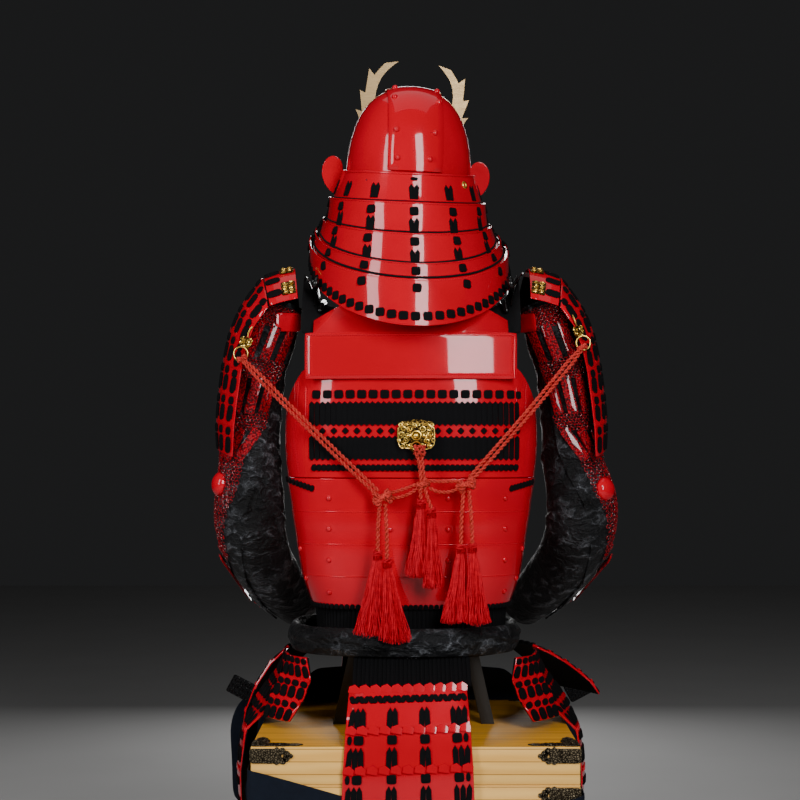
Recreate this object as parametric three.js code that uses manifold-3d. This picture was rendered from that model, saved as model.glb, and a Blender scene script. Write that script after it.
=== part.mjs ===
// Red lacquered samurai armour on a black wooden stand and a pine chest, in millimetres, +Z up.
// The origin is the centre of the chest's underside. The armour faces +Y, so its back is at -Y.
import * as THREE from 'three';
import { mergeVertices } from 'three/addons/utils/BufferGeometryUtils.js';
import Module from 'manifold-3d';

const wasm = await Module();
wasm.setup();

const GAP = 0.3;
const PLATE = 2;
const CLOTH = 2;
const DEG = Math.PI / 180;
const SIDES = [['left', -1], ['right', 1]];

const RED = [0xc40812, 0.2, 0];
const BLACK = [0x0c0c0e, 0.8, 0];
const GOLD = [0xd9a93f, 0.3, 1];
const CORD = [0xc4341f, 0.7, 0];
const BROCADE = [0x17181c, 0.7, 0];
const BLACK_WOOD = [0x101010, 0.5, 0];
const PINE = [0xc08a3c, 0.5, 0];

const armour = new THREE.Group();

// ---------------------------------------------------------------- shape helpers

const vec = (x, y, z) => new THREE.Vector3(x, y, z);
const lerp = THREE.MathUtils.lerp;
const steps = (count) => Array.from({ length: count + 1 }, (_, i) => i / count);

// Reads a table of rows, in order of its first column, as a smooth function of that column.
function column(rows, key, at) {
  const by = Object.keys(rows[0])[0];
  const rising = rows[0][by] < rows[rows.length - 1][by];
  const sorted = rising ? rows : [...rows].reverse();
  const last = sorted.length - 1;
  const x = THREE.MathUtils.clamp(at, sorted[0][by], sorted[last][by]);
  let i = 0;
  while (i < last - 1 && x > sorted[i + 1][by]) i += 1;
  const [lo, hi] = [sorted[i], sorted[i + 1]];
  const span = hi[by] - lo[by];
  const slope = (j) => {
    const a = sorted[Math.max(j - 1, 0)];
    const b = sorted[Math.min(j + 1, last)];
    return (b[key] - a[key]) / (b[by] - a[by]);
  };
  const t = (x - lo[by]) / span;
  const [t2, t3] = [t * t, t * t * t];
  return (2 * t3 - 3 * t2 + 1) * lo[key] + (t3 - 2 * t2 + t) * span * slope(i)
    + (3 * t2 - 2 * t3) * hi[key] + (t3 - t2) * span * slope(i + 1);
}

// Closed solid between two grids of points with the same rows and columns.
function solidBetween(outer, inner, round = false) {
  const rows = outer.length;
  const cols = outer[0].length;
  const positions = [...outer.flat(), ...inner.flat()].flatMap((p) => [p.x, p.y, p.z]);
  const index = [];
  const at = (layer, i, j) => layer * rows * cols + i * cols + (j % cols);
  const quad = (a, b, c, d) => index.push(a, b, c, a, c, d);
  const across = round ? cols : cols - 1;
  for (let j = 0; j < across; j += 1) {
    for (let i = 0; i < rows - 1; i += 1) {
      quad(at(0, i, j), at(0, i, j + 1), at(0, i + 1, j + 1), at(0, i + 1, j));
      quad(at(1, i, j), at(1, i + 1, j), at(1, i + 1, j + 1), at(1, i, j + 1));
    }
    quad(at(0, 0, j), at(1, 0, j), at(1, 0, j + 1), at(0, 0, j + 1));
    quad(at(0, rows - 1, j), at(0, rows - 1, j + 1), at(1, rows - 1, j + 1), at(1, rows - 1, j));
  }
  for (let i = 0; i < rows - 1 && !round; i += 1) {
    quad(at(0, i, 0), at(0, i + 1, 0), at(1, i + 1, 0), at(1, i, 0));
    const e = cols - 1;
    quad(at(0, i, e), at(1, i, e), at(1, i + 1, e), at(0, i + 1, e));
  }
  return facingOut(geometryOf(positions, index));
}

function geometryOf(positions, index) {
  const geometry = new THREE.BufferGeometry();
  geometry.setAttribute('position', new THREE.Float32BufferAttribute(positions, 3));
  geometry.setIndex(index);
  return geometry;
}

// Turns every triangle round when the solid's signed volume comes out negative.
function facingOut(geometry) {
  const place = geometry.getAttribute('position');
  const index = Array.from(geometry.getIndex().array);
  const corner = (i) => new THREE.Vector3().fromBufferAttribute(place, index[i]);
  let volume = 0;
  for (let i = 0; i < index.length; i += 3) {
    volume += corner(i).dot(corner(i + 1).cross(corner(i + 2)));
  }
  if (volume < 0) {
    for (let i = 0; i < index.length; i += 3) {
      [index[i + 1], index[i + 2]] = [index[i + 2], index[i + 1]];
    }
    geometry.setIndex(index);
  }
  return geometry;
}

// The grid moved along its own normals. Normals point away from the armour's upright axis
// or, on a grid that closes round, away from each row's middle.
function moved(grid, distance, round = false) {
  const rows = grid.length;
  const cols = grid[0].length;
  const normals = grid.map((row, i) => row.map((_, j) => {
    const up = grid[Math.min(i + 1, rows - 1)][j].clone().sub(grid[Math.max(i - 1, 0)][j]);
    const next = round ? row[(j + 1) % cols] : row[Math.min(j + 1, cols - 1)];
    const last = round ? row[(j + cols - 1) % cols] : row[Math.max(j - 1, 0)];
    return up.cross(next.clone().sub(last)).normalize();
  }));
  let away = 0;
  grid.forEach((row, i) => {
    const middle = vec(0, 0, 0);
    if (round) row.forEach((p) => middle.addScaledVector(p, 1 / cols));
    row.forEach((p, j) => {
      const from = round ? middle : vec(0, 0, p.z);
      away += normals[i][j].dot(p.clone().sub(from));
    });
  });
  const reach = distance * Math.sign(away);
  return grid.map((row, i) => row.map((p, j) => p.clone().addScaledVector(normals[i][j], reach)));
}

// A wall of one thickness whose outer side is the grid.
const wall = (grid, thickness, round = false) => (
  solidBetween(grid, moved(grid, -thickness, round), round)
);

function add(name, geometry, [color, roughness, metalness], parent = armour) {
  const material = new THREE.MeshStandardMaterial({ color, roughness, metalness });
  const mesh = new THREE.Mesh(geometry, material);
  mesh.name = name;
  parent.add(mesh);
  return mesh;
}

// ---------------------------------------------------------------- joining and cutting

function solidOf(geometry) {
  const bare = geometry.index ? geometry.clone() : geometry;
  bare.deleteAttribute('normal');
  bare.deleteAttribute('uv');
  const merged = mergeVertices(bare, 1e-3);
  return new wasm.Manifold(new wasm.Mesh({
    numProp: 3,
    vertProperties: new Float32Array(merged.getAttribute('position').array),
    triVerts: new Uint32Array(merged.getIndex().array),
  }));
}

function geometryFrom(solid) {
  const mesh = solid.getMesh();
  return geometryOf(Array.from(mesh.vertProperties), Array.from(mesh.triVerts));
}

const box = (sx, sy, sz, x, y, z) => new THREE.BoxGeometry(sx, sy, sz).translate(x, y, z);

// A turned solid: rings of radius and height from the axis back to the axis, upright on Z.
function turned(profile, sides) {
  const points = profile.map(([radius, height]) => new THREE.Vector2(radius, height));
  const lathe = new THREE.LatheGeometry(points, sides).rotateX(Math.PI / 2);
  lathe.deleteAttribute('normal');
  lathe.deleteAttribute('uv');
  const merged = mergeVertices(lathe, 1e-3);
  const index = Array.from(merged.getIndex().array);
  const kept = [];
  for (let i = 0; i < index.length; i += 3) {
    const [a, b, c] = index.slice(i, i + 3);
    if (a !== b && b !== c && c !== a) kept.push(a, b, c);
  }
  merged.setIndex(kept);
  return facingOut(merged);
}

// A grid of points from a surface that takes two numbers.
const gridOf = (surface, along, across) => along.map((s) => across.map((t) => surface(s, t)));

// A wall of lapped lames: each lame stands proud at its top edge and meets the next behind it.
function lapped(surface, lames, across, thickness, rise, lip = 0.03) {
  const along = steps(lames).slice(0, -1).flatMap((s) => [
    s + (s > 0 ? lip / lames : 0), s + (1 - (s + 1 / lames < 0.999 ? lip : 0)) / lames,
  ]);
  const base = gridOf(surface, along, across);
  const proud = moved(base, rise);
  return solidBetween(base.map((row, i) => (i % 2 ? row : proud[i])), moved(base, -thickness));
}

// ---------------------------------------------------------------- chest and stand

const CHEST = { x: 5, side: 480, height: 480, lid: 56, wall: 12 };

function buildChest() {
  const { side, height, lid, wall: board } = CHEST;
  const bodyTop = height - lid;
  const inside = side - 2 * board;
  const body = solidOf(box(side, side, bodyTop, 0, 0, bodyTop / 2))
    .subtract(solidOf(box(inside, inside, bodyTop, 0, 0, bodyTop / 2 + board)));
  add('chest_body', geometryFrom(body), PINE).position.x = CHEST.x;
  const lidHeight = lid - GAP;
  const lidMiddle = height - lidHeight / 2;
  const cover = solidOf(box(side, side, lidHeight, 0, 0, lidMiddle))
    .subtract(solidOf(box(inside, inside, lidHeight, 0, 0, lidMiddle - board)));
  add('chest_lid', geometryFrom(cover), PINE).position.x = CHEST.x;
}

// An easel of four splayed legs under one post, with a shoulder bar and a smooth head block.
const STAND = {
  x: 4, footX: 117, rearFoot: -20, frontFoot: 98, apex: 1000, leg: 20, postTop: 1350,
  barZ: 1112, barHalf: 122, headZ: 1392,
};

function beam(from, to, size) {
  const along = to.clone().sub(from);
  const turn = new THREE.Quaternion().setFromUnitVectors(vec(0, 0, 1), along.clone().normalize());
  const middle = from.clone().add(to).multiplyScalar(0.5);
  return new THREE.BoxGeometry(size, size, along.length())
    .applyQuaternion(turn).translate(middle.x, middle.y, middle.z);
}

function buildStand() {
  const s = STAND;
  const floor = CHEST.height + GAP;
  const apex = vec(0, 4, s.apex);
  let frame = solidOf(box(36, 28, s.postTop - s.apex + 40, 0, 4, (s.postTop + s.apex - 40) / 2));
  for (const side of [-1, 1]) {
    for (const depth of [s.rearFoot, s.frontFoot]) {
      const foot = vec(side * s.footX, depth, CHEST.height);
      const below = foot.clone().add(foot.clone().sub(apex).multiplyScalar(0.06));
      frame = frame.add(solidOf(beam(below, apex, s.leg)));
    }
  }
  frame = frame.subtract(solidOf(box(400, 400, 100, 0, 50, floor - 50)));
  frame = frame.add(solidOf(box(2 * s.barHalf, 26, 30, 0, 4, s.barZ)));
  const head = new THREE.SphereGeometry(1, 14, 10).rotateX(Math.PI / 2).scale(50, 60, 62);
  frame = frame.add(solidOf(head.translate(-4, -8, s.headZ)));
  add('stand', geometryFrom(frame), BLACK_WOOD).position.x = STAND.x;
}

// ---------------------------------------------------------------- helmet

const HELMET = {
  x: -4, y: -6, z: 1352, pitch: 8.8 * DEG, roll: 2 * DEG, yaw: 2.5 * DEG,
  half: 100.6, length: 1.173, height: 137, shoulder: 0.71, wall: 2.5,
};
const BAND_HALF = 43;
const NECK_END = 100 * DEG;

// Rims of the neck guard's lames, from the bowl down: half width, reach to the back, and
// height at the sides and at the back, and drift to the right, as the guard hangs a little askew.
const NECK_RIMS = [
  { a: 104.5, b: 122, side: 3, back: 3, x: 0 },
  { a: 120, b: 141, side: -40, back: -42, x: 0 },
  { a: 130, b: 163, side: -75, back: -88, x: 1 },
  { a: 143, b: 185, side: -96, back: -132, x: 3 },
  { a: 154, b: 197, side: -112, back: -157, x: 5 },
  { a: 162, b: 229, side: -149, back: -223, x: 8 },
];
const NECK_LAP = 3.2;
const EAR_SEAT = { left: 108, right: 102 };
const CREST_SPREAD = 1.05;

function bowlProfile(half, height) {
  return steps(9).map((t) => {
    const rise = t * Math.PI / 2;
    const radius = t === 1 ? 0 : half * Math.cos(rise) ** HELMET.shoulder;
    return [radius, height * Math.sin(rise)];
  });
}

// The bowl's surface met by a ray from its long axis at x, turning from the back over the top.
function bowlPoint(turn, x) {
  const { half, length, height, shoulder } = HELMET;
  const inside = (reach) => {
    const radius = Math.hypot(x, reach * Math.cos(turn) / length) / half;
    return radius ** (2 / shoulder) + (reach * Math.sin(turn) / height) ** 2 < 1;
  };
  let [near, far] = [0, 200];
  for (let i = 0; i < 40; i += 1) {
    const middle = (near + far) / 2;
    if (inside(middle)) near = middle;
    else far = middle;
  }
  return vec(x, -near * Math.cos(turn), near * Math.sin(turn));
}

function neckPoint(rim, angle, out = 0) {
  const { a, b, side, back, x } = rim;
  const z = side + (back - side) * Math.cos(angle);
  return vec(x + (a + out) * Math.sin(angle), -(b + out) * Math.cos(angle), z);
}

function neckLame(number) {
  const [upper, lower, next] = [NECK_RIMS[number - 1], NECK_RIMS[number], NECK_RIMS[number + 1]];
  const angles = steps(18).map((t) => lerp(-NECK_END, NECK_END, t));
  const top = angles.map((angle) => neckPoint(upper, angle, number > 1 ? NECK_LAP : 0));
  const low = angles.map((angle) => neckPoint(lower, angle));
  const middle = top.map((p, i) => p.clone().lerp(low[i], 0.5));
  const rows = [top, middle, low];
  if (next) {
    rows.push(low.map((p, i) => {
      const onward = neckPoint(next, angles[i]).sub(p);
      return p.clone().addScaledVector(onward, Math.min(0.22, 8 / onward.length()));
    }));
  }
  return wall(rows, PLATE);
}

// One antler of the crest, from its socket out, up its barbed outer edge and back down.
const ANTLER = [
  { x: 0, z: 6 }, { x: 34, z: 10 }, { x: 66, z: 32 }, { x: 80, z: 58 }, { x: 87, z: 78 },
  { x: 93, z: 90 }, { x: 82, z: 87 }, { x: 85, z: 106 }, { x: 88, z: 123 }, { x: 78, z: 119 },
  { x: 76, z: 141 }, { x: 74, z: 161 }, { x: 64, z: 150 }, { x: 57, z: 161 }, { x: 46, z: 172 },
  { x: 23, z: 176 }, { x: 36, z: 166 }, { x: 49, z: 152 }, { x: 57, z: 136 }, { x: 62, z: 112 },
  { x: 57, z: 84 }, { x: 46, z: 58 }, { x: 26, z: 38 }, { x: 0, z: 30 },
];

function buildHelmet() {
  const helmet = new THREE.Group();
  helmet.position.set(HELMET.x, HELMET.y, HELMET.z);
  helmet.rotation.set(HELMET.pitch, HELMET.roll, HELMET.yaw, 'ZYX');
  armour.add(helmet);

  const outer = bowlProfile(HELMET.half, HELMET.height);
  const inner = bowlProfile(HELMET.half - HELMET.wall, HELMET.height - HELMET.wall);
  const bowl = turned([...inner.reverse(), ...outer], 28);
  add('helmet_bowl', bowl.scale(1, HELMET.length, 1), RED, helmet);

  const turns = steps(12).map((t) => lerp(3, 158, t) * DEG);
  const widths = steps(4).map((t) => lerp(-BAND_HALF, BAND_HALF, t));
  const band = gridOf(bowlPoint, turns, widths);
  const raised = (out) => band.map((row, i) => row.map((p) => {
    const away = vec(0, -Math.cos(turns[i]), Math.sin(turns[i]));
    return p.clone().addScaledVector(away, out);
  }));
  add('helmet_back_band', solidBetween(raised(4.4), raised(2.6)), RED, helmet);

  const visor = gridOf((out, t) => {
    const angle = lerp(116, 244, t) * DEG;
    const reach = out * (2 + 28 * Math.sin(t * Math.PI) ** 0.7);
    const [a, b] = [HELMET.half + 2.5 + reach, HELMET.half * HELMET.length + 3 + reach];
    return vec(a * Math.sin(angle), -b * Math.cos(angle), 2 - 0.45 * reach);
  }, steps(2), steps(14));
  add('helmet_visor', wall(visor, PLATE), RED, helmet);

  for (let number = 1; number <= 5; number += 1) {
    add(`neck_guard_lame_${number}`, neckLame(number), RED, helmet);
  }

  for (const [name, side] of SIDES) {
    const ear = new THREE.Shape();
    ear.moveTo(0, -33);
    ear.bezierCurveTo(side * 18, -28, side * 34, -8, side * 31, 12);
    ear.bezierCurveTo(side * 28, 36, side * 4, 42, side * -4, 16);
    ear.lineTo(side * -2, -28);
    const plate = new THREE.ExtrudeGeometry(ear, { depth: PLATE, bevelEnabled: false, curveSegments: 7 });
    plate.rotateX(Math.PI / 2).translate(side * EAR_SEAT[name], 30, -6);
    add(`turnback_${name}`, facingOut(indexed(plate)), RED, helmet);
  }

  const crest = new THREE.Group();
  crest.position.set(-7, 128, 1388);
  crest.rotation.y = 4 * DEG;
  armour.add(crest);
  const mirrored = [...ANTLER].reverse().filter(({ x }) => x > 0).map(({ x, z }) => ({ x: -x, z }));
  const outline = new THREE.Shape([...ANTLER, ...mirrored].map(({ x, z }) => (
    new THREE.Vector2(CREST_SPREAD * x, z)
  )));
  const plate = new THREE.ExtrudeGeometry(outline, { depth: PLATE, bevelEnabled: false });
  const socket = box(26, 8, 34, 0, -2, 12);
  add('helmet_crest', geometryFrom(solidOf(plate.rotateX(Math.PI / 2)).add(solidOf(socket))), GOLD, crest);
}

// three.js's own shapes repeat the points at their edges: this shares them.
function indexed(geometry) {
  const bare = geometry.clone();
  bare.deleteAttribute('normal');
  bare.deleteAttribute('uv');
  return mergeVertices(bare, 1e-3);
}

// ---------------------------------------------------------------- cuirass

// Half width and half depth of the cuirass at each height.
const CUIRASS = [
  { z: 668, half: 156, depth: 116 },
  { z: 684, half: 163, depth: 120 },
  { z: 712, half: 172, depth: 125 },
  { z: 760, half: 180, depth: 130 },
  { z: 805, half: 187, depth: 134 },
  { z: 850, half: 193.5, depth: 137 },
  { z: 905, half: 200.5, depth: 140 },
  { z: 940, half: 201.5, depth: 141 },
  { z: 1000, half: 197, depth: 141 },
  { z: 1060, half: 192, depth: 139 },
  { z: 1110, half: 188, depth: 136 },
];
const SQUARENESS = 3;
const LAMES_TOP = 868;
const LAMES_LOW = 668;
const LAME_COUNT = 4;
const BACK_TOP = 1045;
const ARMHOLE = 975;
const FRONT_DEPTH = 0.93;
const SEAM = 89.4 * DEG;
const BOARD = { half: 162.5, low: 1020, top: 1091, y: -148.5, bow: 21, thick: 3, lean: 0, drop: 0 };
const YOKE = { half: 151, low: 1060, top: 1162, y: -141, bow: 19, thick: 2.5, lean: 22, drop: 50 };

// A point of the cuirass: angle 0 at the middle of the back, 180 degrees at the breast.
function cuirassPoint(z, angle) {
  const power = 2 / SQUARENESS;
  const [s, c] = [Math.sin(angle), Math.cos(angle)];
  const depth = column(CUIRASS, 'depth', z) * (c < 0 ? FRONT_DEPTH : 1);
  const x = column(CUIRASS, 'half', z) * Math.sign(s) * Math.abs(s) ** power;
  return vec(x, -depth * Math.sign(c) * Math.abs(c) ** power, z);
}

// Height of a plate's upper edge: level across, then cut down to the armhole.
function upperEdge(angle, level, armhole, from) {
  const side = Math.abs(Math.sin(angle)) ** (2 / SQUARENESS);
  return level - (level - armhole) * (Math.max(0, side - from) / (1 - from)) ** 2;
}

function buildCuirass() {
  const arc = (middle) => steps(18).map((t) => middle + lerp(-SEAM, SEAM, t));
  const halves = [
    { name: 'back', middle: 0, level: BACK_TOP, from: 0.8 },
    { name: 'front', middle: Math.PI, level: 1105, from: 0.55 },
  ];
  for (const { name, middle, level, from } of halves) {
    const plate = gridOf((t, angle) => {
      const top = upperEdge(angle, level, ARMHOLE, from);
      return cuirassPoint(lerp(LAMES_TOP + 1, top, t), angle);
    }, steps(4), arc(middle));
    add(`${name}_plate`, wall(plate, 2.5), RED);
    const lames = lapped((s, angle) => cuirassPoint(lerp(LAMES_TOP, LAMES_LOW, s), angle),
      LAME_COUNT, arc(middle), PLATE, 1.8);
    add(`${name}_lames`, lames, RED);
  }
  const slab = ({ half, low, top, y, bow, lean, drop, thick }) => wall(gridOf((t, w) => (
    vec(w * half - 1, y + bow * w * w + lean * t, lerp(low, top - drop * w * w, t))
  ), steps(2), steps(8).map((t) => 2 * t - 1)), thick);
  add('back_board', slab(BOARD), RED);
  add('back_yoke', slab(YOKE), RED);
}

// Padded straps over the shoulders, higher towards the arm.
const STRAP = { inner: 118, outer: 170, innerTop: 1142, rise: 54, back: -97, foot: 1092, pad: 8 };

function buildStraps() {
  for (const [name, side] of SIDES) {
    const strap = gridOf((t, w) => {
      const x = lerp(STRAP.inner, STRAP.outer, w);
      const top = STRAP.innerTop + STRAP.rise * w ** 3;
      const arch = Math.sin(t * Math.PI) ** 1.2;
      return vec(side * x, STRAP.back * Math.cos(t * Math.PI), lerp(STRAP.foot, top, arch));
    }, steps(12), steps(3));
    const inside = strap.map((row, i) => row.map((p) => {
      const t = i / 12 * Math.PI;
      return p.clone().add(vec(0, STRAP.pad * Math.cos(t), -STRAP.pad * Math.sin(t)));
    }));
    add(`shoulder_strap_${name}`, solidBetween(strap, inside), BLACK);
  }
}

// ---------------------------------------------------------------- shoulder guards

// Middle line of a guard from the neck out and down, and how far its front and rear edges
// fall back from that line.
const GUARD = [
  { s: 0, out: 186, up: 1204, inset: 6, drop: 56 },
  { s: 28, out: 212, up: 1199, inset: 8, drop: 56 },
  { s: 54, out: 236, up: 1190, inset: 12, drop: 54 },
  { s: 88, out: 258, up: 1163, inset: 17, drop: 47 },
  { s: 126, out: 279, up: 1130, inset: 25, drop: 37 },
  { s: 162, out: 291, up: 1097, inset: 29, drop: 31 },
  { s: 216, out: 302, up: 1043, inset: 32, drop: 19 },
  { s: 270, out: 308.5, up: 989, inset: 33, drop: 9 },
  { s: 310, out: 311, up: 950, inset: 31, drop: 9 },
  { s: 350, out: 309.5, up: 911, inset: 28, drop: 11 },
];
const GUARD_HALF = 88;
const GUARD_TURN = { left: 4, right: -5 };
const CROWN_END = 54;
const GUARD_LAMES = 6;

function guardPoint(name, side, s, v) {
  const along = (key) => column(GUARD, key, s);
  const out = along('out') - along('inset') * v * v + GUARD_TURN[name] * v;
  return vec(side * out, GUARD_HALF * v, along('up') - along('drop') * v * v);
}

function buildGuards() {
  const across = steps(8).map((t) => 2 * t - 1);
  for (const [name, side] of SIDES) {
    const crown = gridOf((t, v) => guardPoint(name, side, t * CROWN_END, v), steps(3), across);
    add(`guard_crown_${name}`, wall(crown, PLATE), RED);
    const end = GUARD[GUARD.length - 1].s;
    const surface = (t, v) => guardPoint(name, side, lerp(CROWN_END + 2.5, end, t), v);
    add(`guard_lames_${name}`, lapped(surface, GUARD_LAMES, across, PLATE, 1.6), RED);
  }
}

// ---------------------------------------------------------------- sleeves

// How far each arm swings out at the elbow.
const ARM_SPREAD = { '-1': -5, 1: 10 };
// Middle line of the right sleeve from shoulder to cuff, with its half widths across and
// from front to back, and how much of its arm's spread it takes.
const SLEEVE = [
  { u: 0, x: 213, y: 0, z: 1148, wide: 40, deep: 48, spread: 0 },
  { u: 0.14, x: 228, y: -2, z: 1095, wide: 44, deep: 52, spread: 0 },
  { u: 0.29, x: 243, y: -5, z: 1030, wide: 42, deep: 54, spread: 0 },
  { u: 0.44, x: 250, y: -8, z: 960, wide: 43, deep: 55, spread: 0 },
  { u: 0.57, x: 254, y: -10, z: 895, wide: 45, deep: 56, spread: 0.1 },
  { u: 0.67, x: 258, y: -10, z: 842, wide: 52, deep: 57, spread: 0.9 },
  { u: 0.76, x: 259, y: -2, z: 793, wide: 52, deep: 55, spread: 1 },
  { u: 0.84, x: 247, y: 42, z: 742, wide: 49, deep: 50, spread: 0.8 },
  { u: 0.92, x: 224, y: 112, z: 692, wide: 44, deep: 44, spread: 0.4 },
  { u: 1, x: 193, y: 188, z: 650, wide: 38, deep: 38, spread: 0 },
];
const SLEEVE_ROWS = steps(13);
const BOSS = { left: { u: 0.645, turn: 28 * DEG }, right: { u: 0.655, turn: 46 * DEG } };

// A point on the sleeve: turn 0 is outermost and a quarter turn is towards the back.
function sleevePoint(side, u, turn, out = 0) {
  const place = (at) => vec(...['x', 'y', 'z'].map((key) => column(SLEEVE, key, at)));
  const along = place(Math.min(u + 0.02, 1)).sub(place(Math.max(u - 0.02, 0))).normalize();
  const lateral = vec(1, 0, 0).addScaledVector(along, -along.x).normalize();
  const rear = along.clone().cross(lateral);
  const p = place(u)
    .addScaledVector(lateral, (column(SLEEVE, 'wide', u) + out) * Math.cos(turn))
    .addScaledVector(rear, (column(SLEEVE, 'deep', u) + out) * Math.sin(turn));
  p.x = side * (p.x + ARM_SPREAD[side] * column(SLEEVE, 'spread', u));
  return p;
}

// How far round to the back the splints and mail reach at each stretch of the sleeve.
const MAIL_REACH = [
  { u: 0.02, from: -60, to: 158 },
  { u: 0.3, from: -60, to: 135 },
  { u: 0.55, from: -55, to: 118 },
  { u: 0.72, from: -50, to: 84 },
  { u: 0.85, from: -55, to: 62 },
  { u: 0.97, from: -60, to: 60 },
];

function buildSleeves() {
  for (const [name, side] of SIDES) {
    const turns = steps(14).slice(0, -1).map((t) => t * 2 * Math.PI);
    const sleeve = gridOf((u, turn) => sleevePoint(side, u, turn), SLEEVE_ROWS, turns);
    add(`sleeve_${name}`, wall(sleeve, CLOTH, true), BROCADE);

    const along = [0.02, ...SLEEVE_ROWS.slice(1, -1), 0.97];
    const mail = (out) => gridOf((u, t) => {
      const turn = lerp(column(MAIL_REACH, 'from', u), column(MAIL_REACH, 'to', u), t) * DEG;
      return sleevePoint(side, u, turn, out);
    }, along, steps(9));
    const { u, turn } = BOSS[name];
    const seat = sleevePoint(side, u, turn, 2.6);
    const away = sleevePoint(side, u, turn, 20).sub(seat).normalize();
    const boss = turned([[0, 0], [17, 0], [14.5, 5.5], [0, 10]], 12);
    boss.applyQuaternion(new THREE.Quaternion().setFromUnitVectors(vec(0, 0, 1), away));
    boss.translate(seat.x, seat.y, seat.z);
    const guarded = solidOf(solidBetween(mail(4.6), mail(1.6))).add(solidOf(boss));
    add(`arm_armour_${name}`, geometryFrom(guarded), RED);
  }
}

// ---------------------------------------------------------------- waist

const SASH = { x: -11, half: 175, depth: 148, z: 620, thick: 10.5, high: 22 };
const LACING = [
  { z: 667, half: 150, depth: 113 },
  { z: 640, half: 148, depth: 116 },
  { z: 615, half: 148, depth: 122 },
  { z: 596, half: 150, depth: 130 },
];

function ovalPoint(half, depth, z, angle, square = 2.6) {
  const [s, c] = [Math.sin(angle), Math.cos(angle)];
  const round = (size, value) => size * Math.sign(value) * Math.abs(value) ** (2 / square);
  return vec(round(half, s), -round(depth, c), z);
}

function buildWaist() {
  const turns = steps(28).slice(0, -1).map((t) => (t * 360 + 4) * DEG);
  const rows = steps(3).map((t) => lerp(LACING[0].z, LACING[3].z, t));
  const lacing = gridOf((z, angle) => (
    ovalPoint(column(LACING, 'half', z), column(LACING, 'depth', z), z, angle)
  ), rows, turns);
  add('waist_lacing', wall(lacing, 3, true), BLACK);

  const fall = gridOf((t, w) => vec(w * 88, lerp(-137, -211, t ** 0.9), lerp(595, 566, t)),
    steps(3), steps(6).map((t) => 2 * t - 1));
  add('back_lacing', wall(fall, 3), BLACK);

  const roll = (outward) => gridOf((t, angle) => {
    const bend = lerp(-80, 80, t) * DEG;
    const out = outward * SASH.thick * Math.cos(bend);
    const p = ovalPoint(SASH.half + out, SASH.depth + out, SASH.z + SASH.high * Math.sin(bend), angle);
    return p.setX(p.x + SASH.x);
  }, steps(4), turns);
  add('waist_sash', solidBetween(roll(1), roll(-1), true), BROCADE);
}

// ---------------------------------------------------------------- skirts

// Each skirt section hangs between two edges, given as rows from the waist down.
// Sections of the right side; the left ones are mirrored, apart from their own table.
const BACK_SKIRT = [
  { z: 561, y: -217, half: 87 },
  { z: 508, y: -247, half: 91 },
  { z: 449, y: -252, half: 95 },
  { z: 392, y: -252, half: 97 },
  { z: 335, y: -252, half: 98 },
  { z: 280, y: -252, half: 99 },
];
const BACK_SKIRT_LEAN = 0.03;
const SKIRTS = {
  rear: {
    lames: 3,
    near: [[160, -92, 592], [155, -92, 556], [168, -95, 524], [188, -98, 494]],
    far: [[190, -50, 592], [203, -46, 560], [219, -44, 528], [232, -43, 496]],
  },
  side: {
    lames: 5,
    near: [[192, -36, 592], [199, -36, 545], [222, -36, 508], [259, -36, 474], [268, -36, 410],
      [266, -36, 335]],
    far: [[196, 44, 592], [218, 50, 555], [248, 52, 516], [268, 52, 470], [275, 52, 408],
      [269, 52, 335]],
  },
  front_side: {
    lames: 5,
    near: [[198, 54, 595], [226, 57, 583], [252, 60, 568], [274, 62, 552], [294, 64, 535],
      [309, 66, 514]],
    far: [[150, 130, 595], [168, 146, 583], [186, 160, 568], [204, 174, 552], [221, 187, 535],
      [236, 198, 514]],
  },
  front: {
    lames: 5,
    near: [[10, 150, 592], [10, 194, 556], [10, 240, 514], [10, 260, 462], [10, 264, 400],
      [10, 264, 335]],
    far: [[112, 137, 592], [116, 182, 556], [122, 234, 514], [128, 258, 462], [130, 264, 400],
      [132, 264, 335]],
  },
};
const LEFT_FRONT_SIDE = {
  lames: 5,
  near: [[198, 54, 594], [228, 58, 566], [252, 60, 530], [269, 62, 488], [276, 64, 430],
    [272, 66, 360]],
  far: [[150, 130, 594], [178, 150, 570], [208, 168, 540], [238, 184, 505], [262, 194, 450],
    [268, 198, 365]],
};
const SKIRT_RISE = 2.4;
const SKIRT_BOW = 5;

function skirtSurface({ near, far }, side) {
  const curve = (points) => new THREE.CatmullRomCurve3(points.map((p) => vec(...p)));
  const [nearEdge, farEdge] = [curve(near), curve(far)];
  return (s, t) => {
    const p = nearEdge.getPoint(s).lerp(farEdge.getPoint(s), t);
    const away = vec(p.x, p.y, 0).normalize();
    p.addScaledVector(away, SKIRT_BOW * 4 * t * (1 - t));
    p.x *= side;
    return p;
  };
}

function buildSkirts() {
  const middle = (s, w) => {
    const z = lerp(BACK_SKIRT[0].z, BACK_SKIRT[5].z, s);
    const x = w * column(BACK_SKIRT, 'half', z) - 6;
    return vec(x, column(BACK_SKIRT, 'y', z) + 3 * w * w, z + BACK_SKIRT_LEAN * x);
  };
  const across = steps(6);
  const wide = across.map((t) => 2 * t - 1);
  add('skirt_back', lapped(middle, 5, wide, 2.5, SKIRT_RISE), RED);
  for (const [name, side] of SIDES) {
    for (const [place, table] of Object.entries(SKIRTS)) {
      const own = name === 'left' && place === 'front_side' ? LEFT_FRONT_SIDE : table;
      const section = lapped(skirtSurface(own, side), own.lames, across, 2.5, SKIRT_RISE);
      add(`skirt_${place}_${name}`, section, RED);
    }
  }
}

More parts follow.
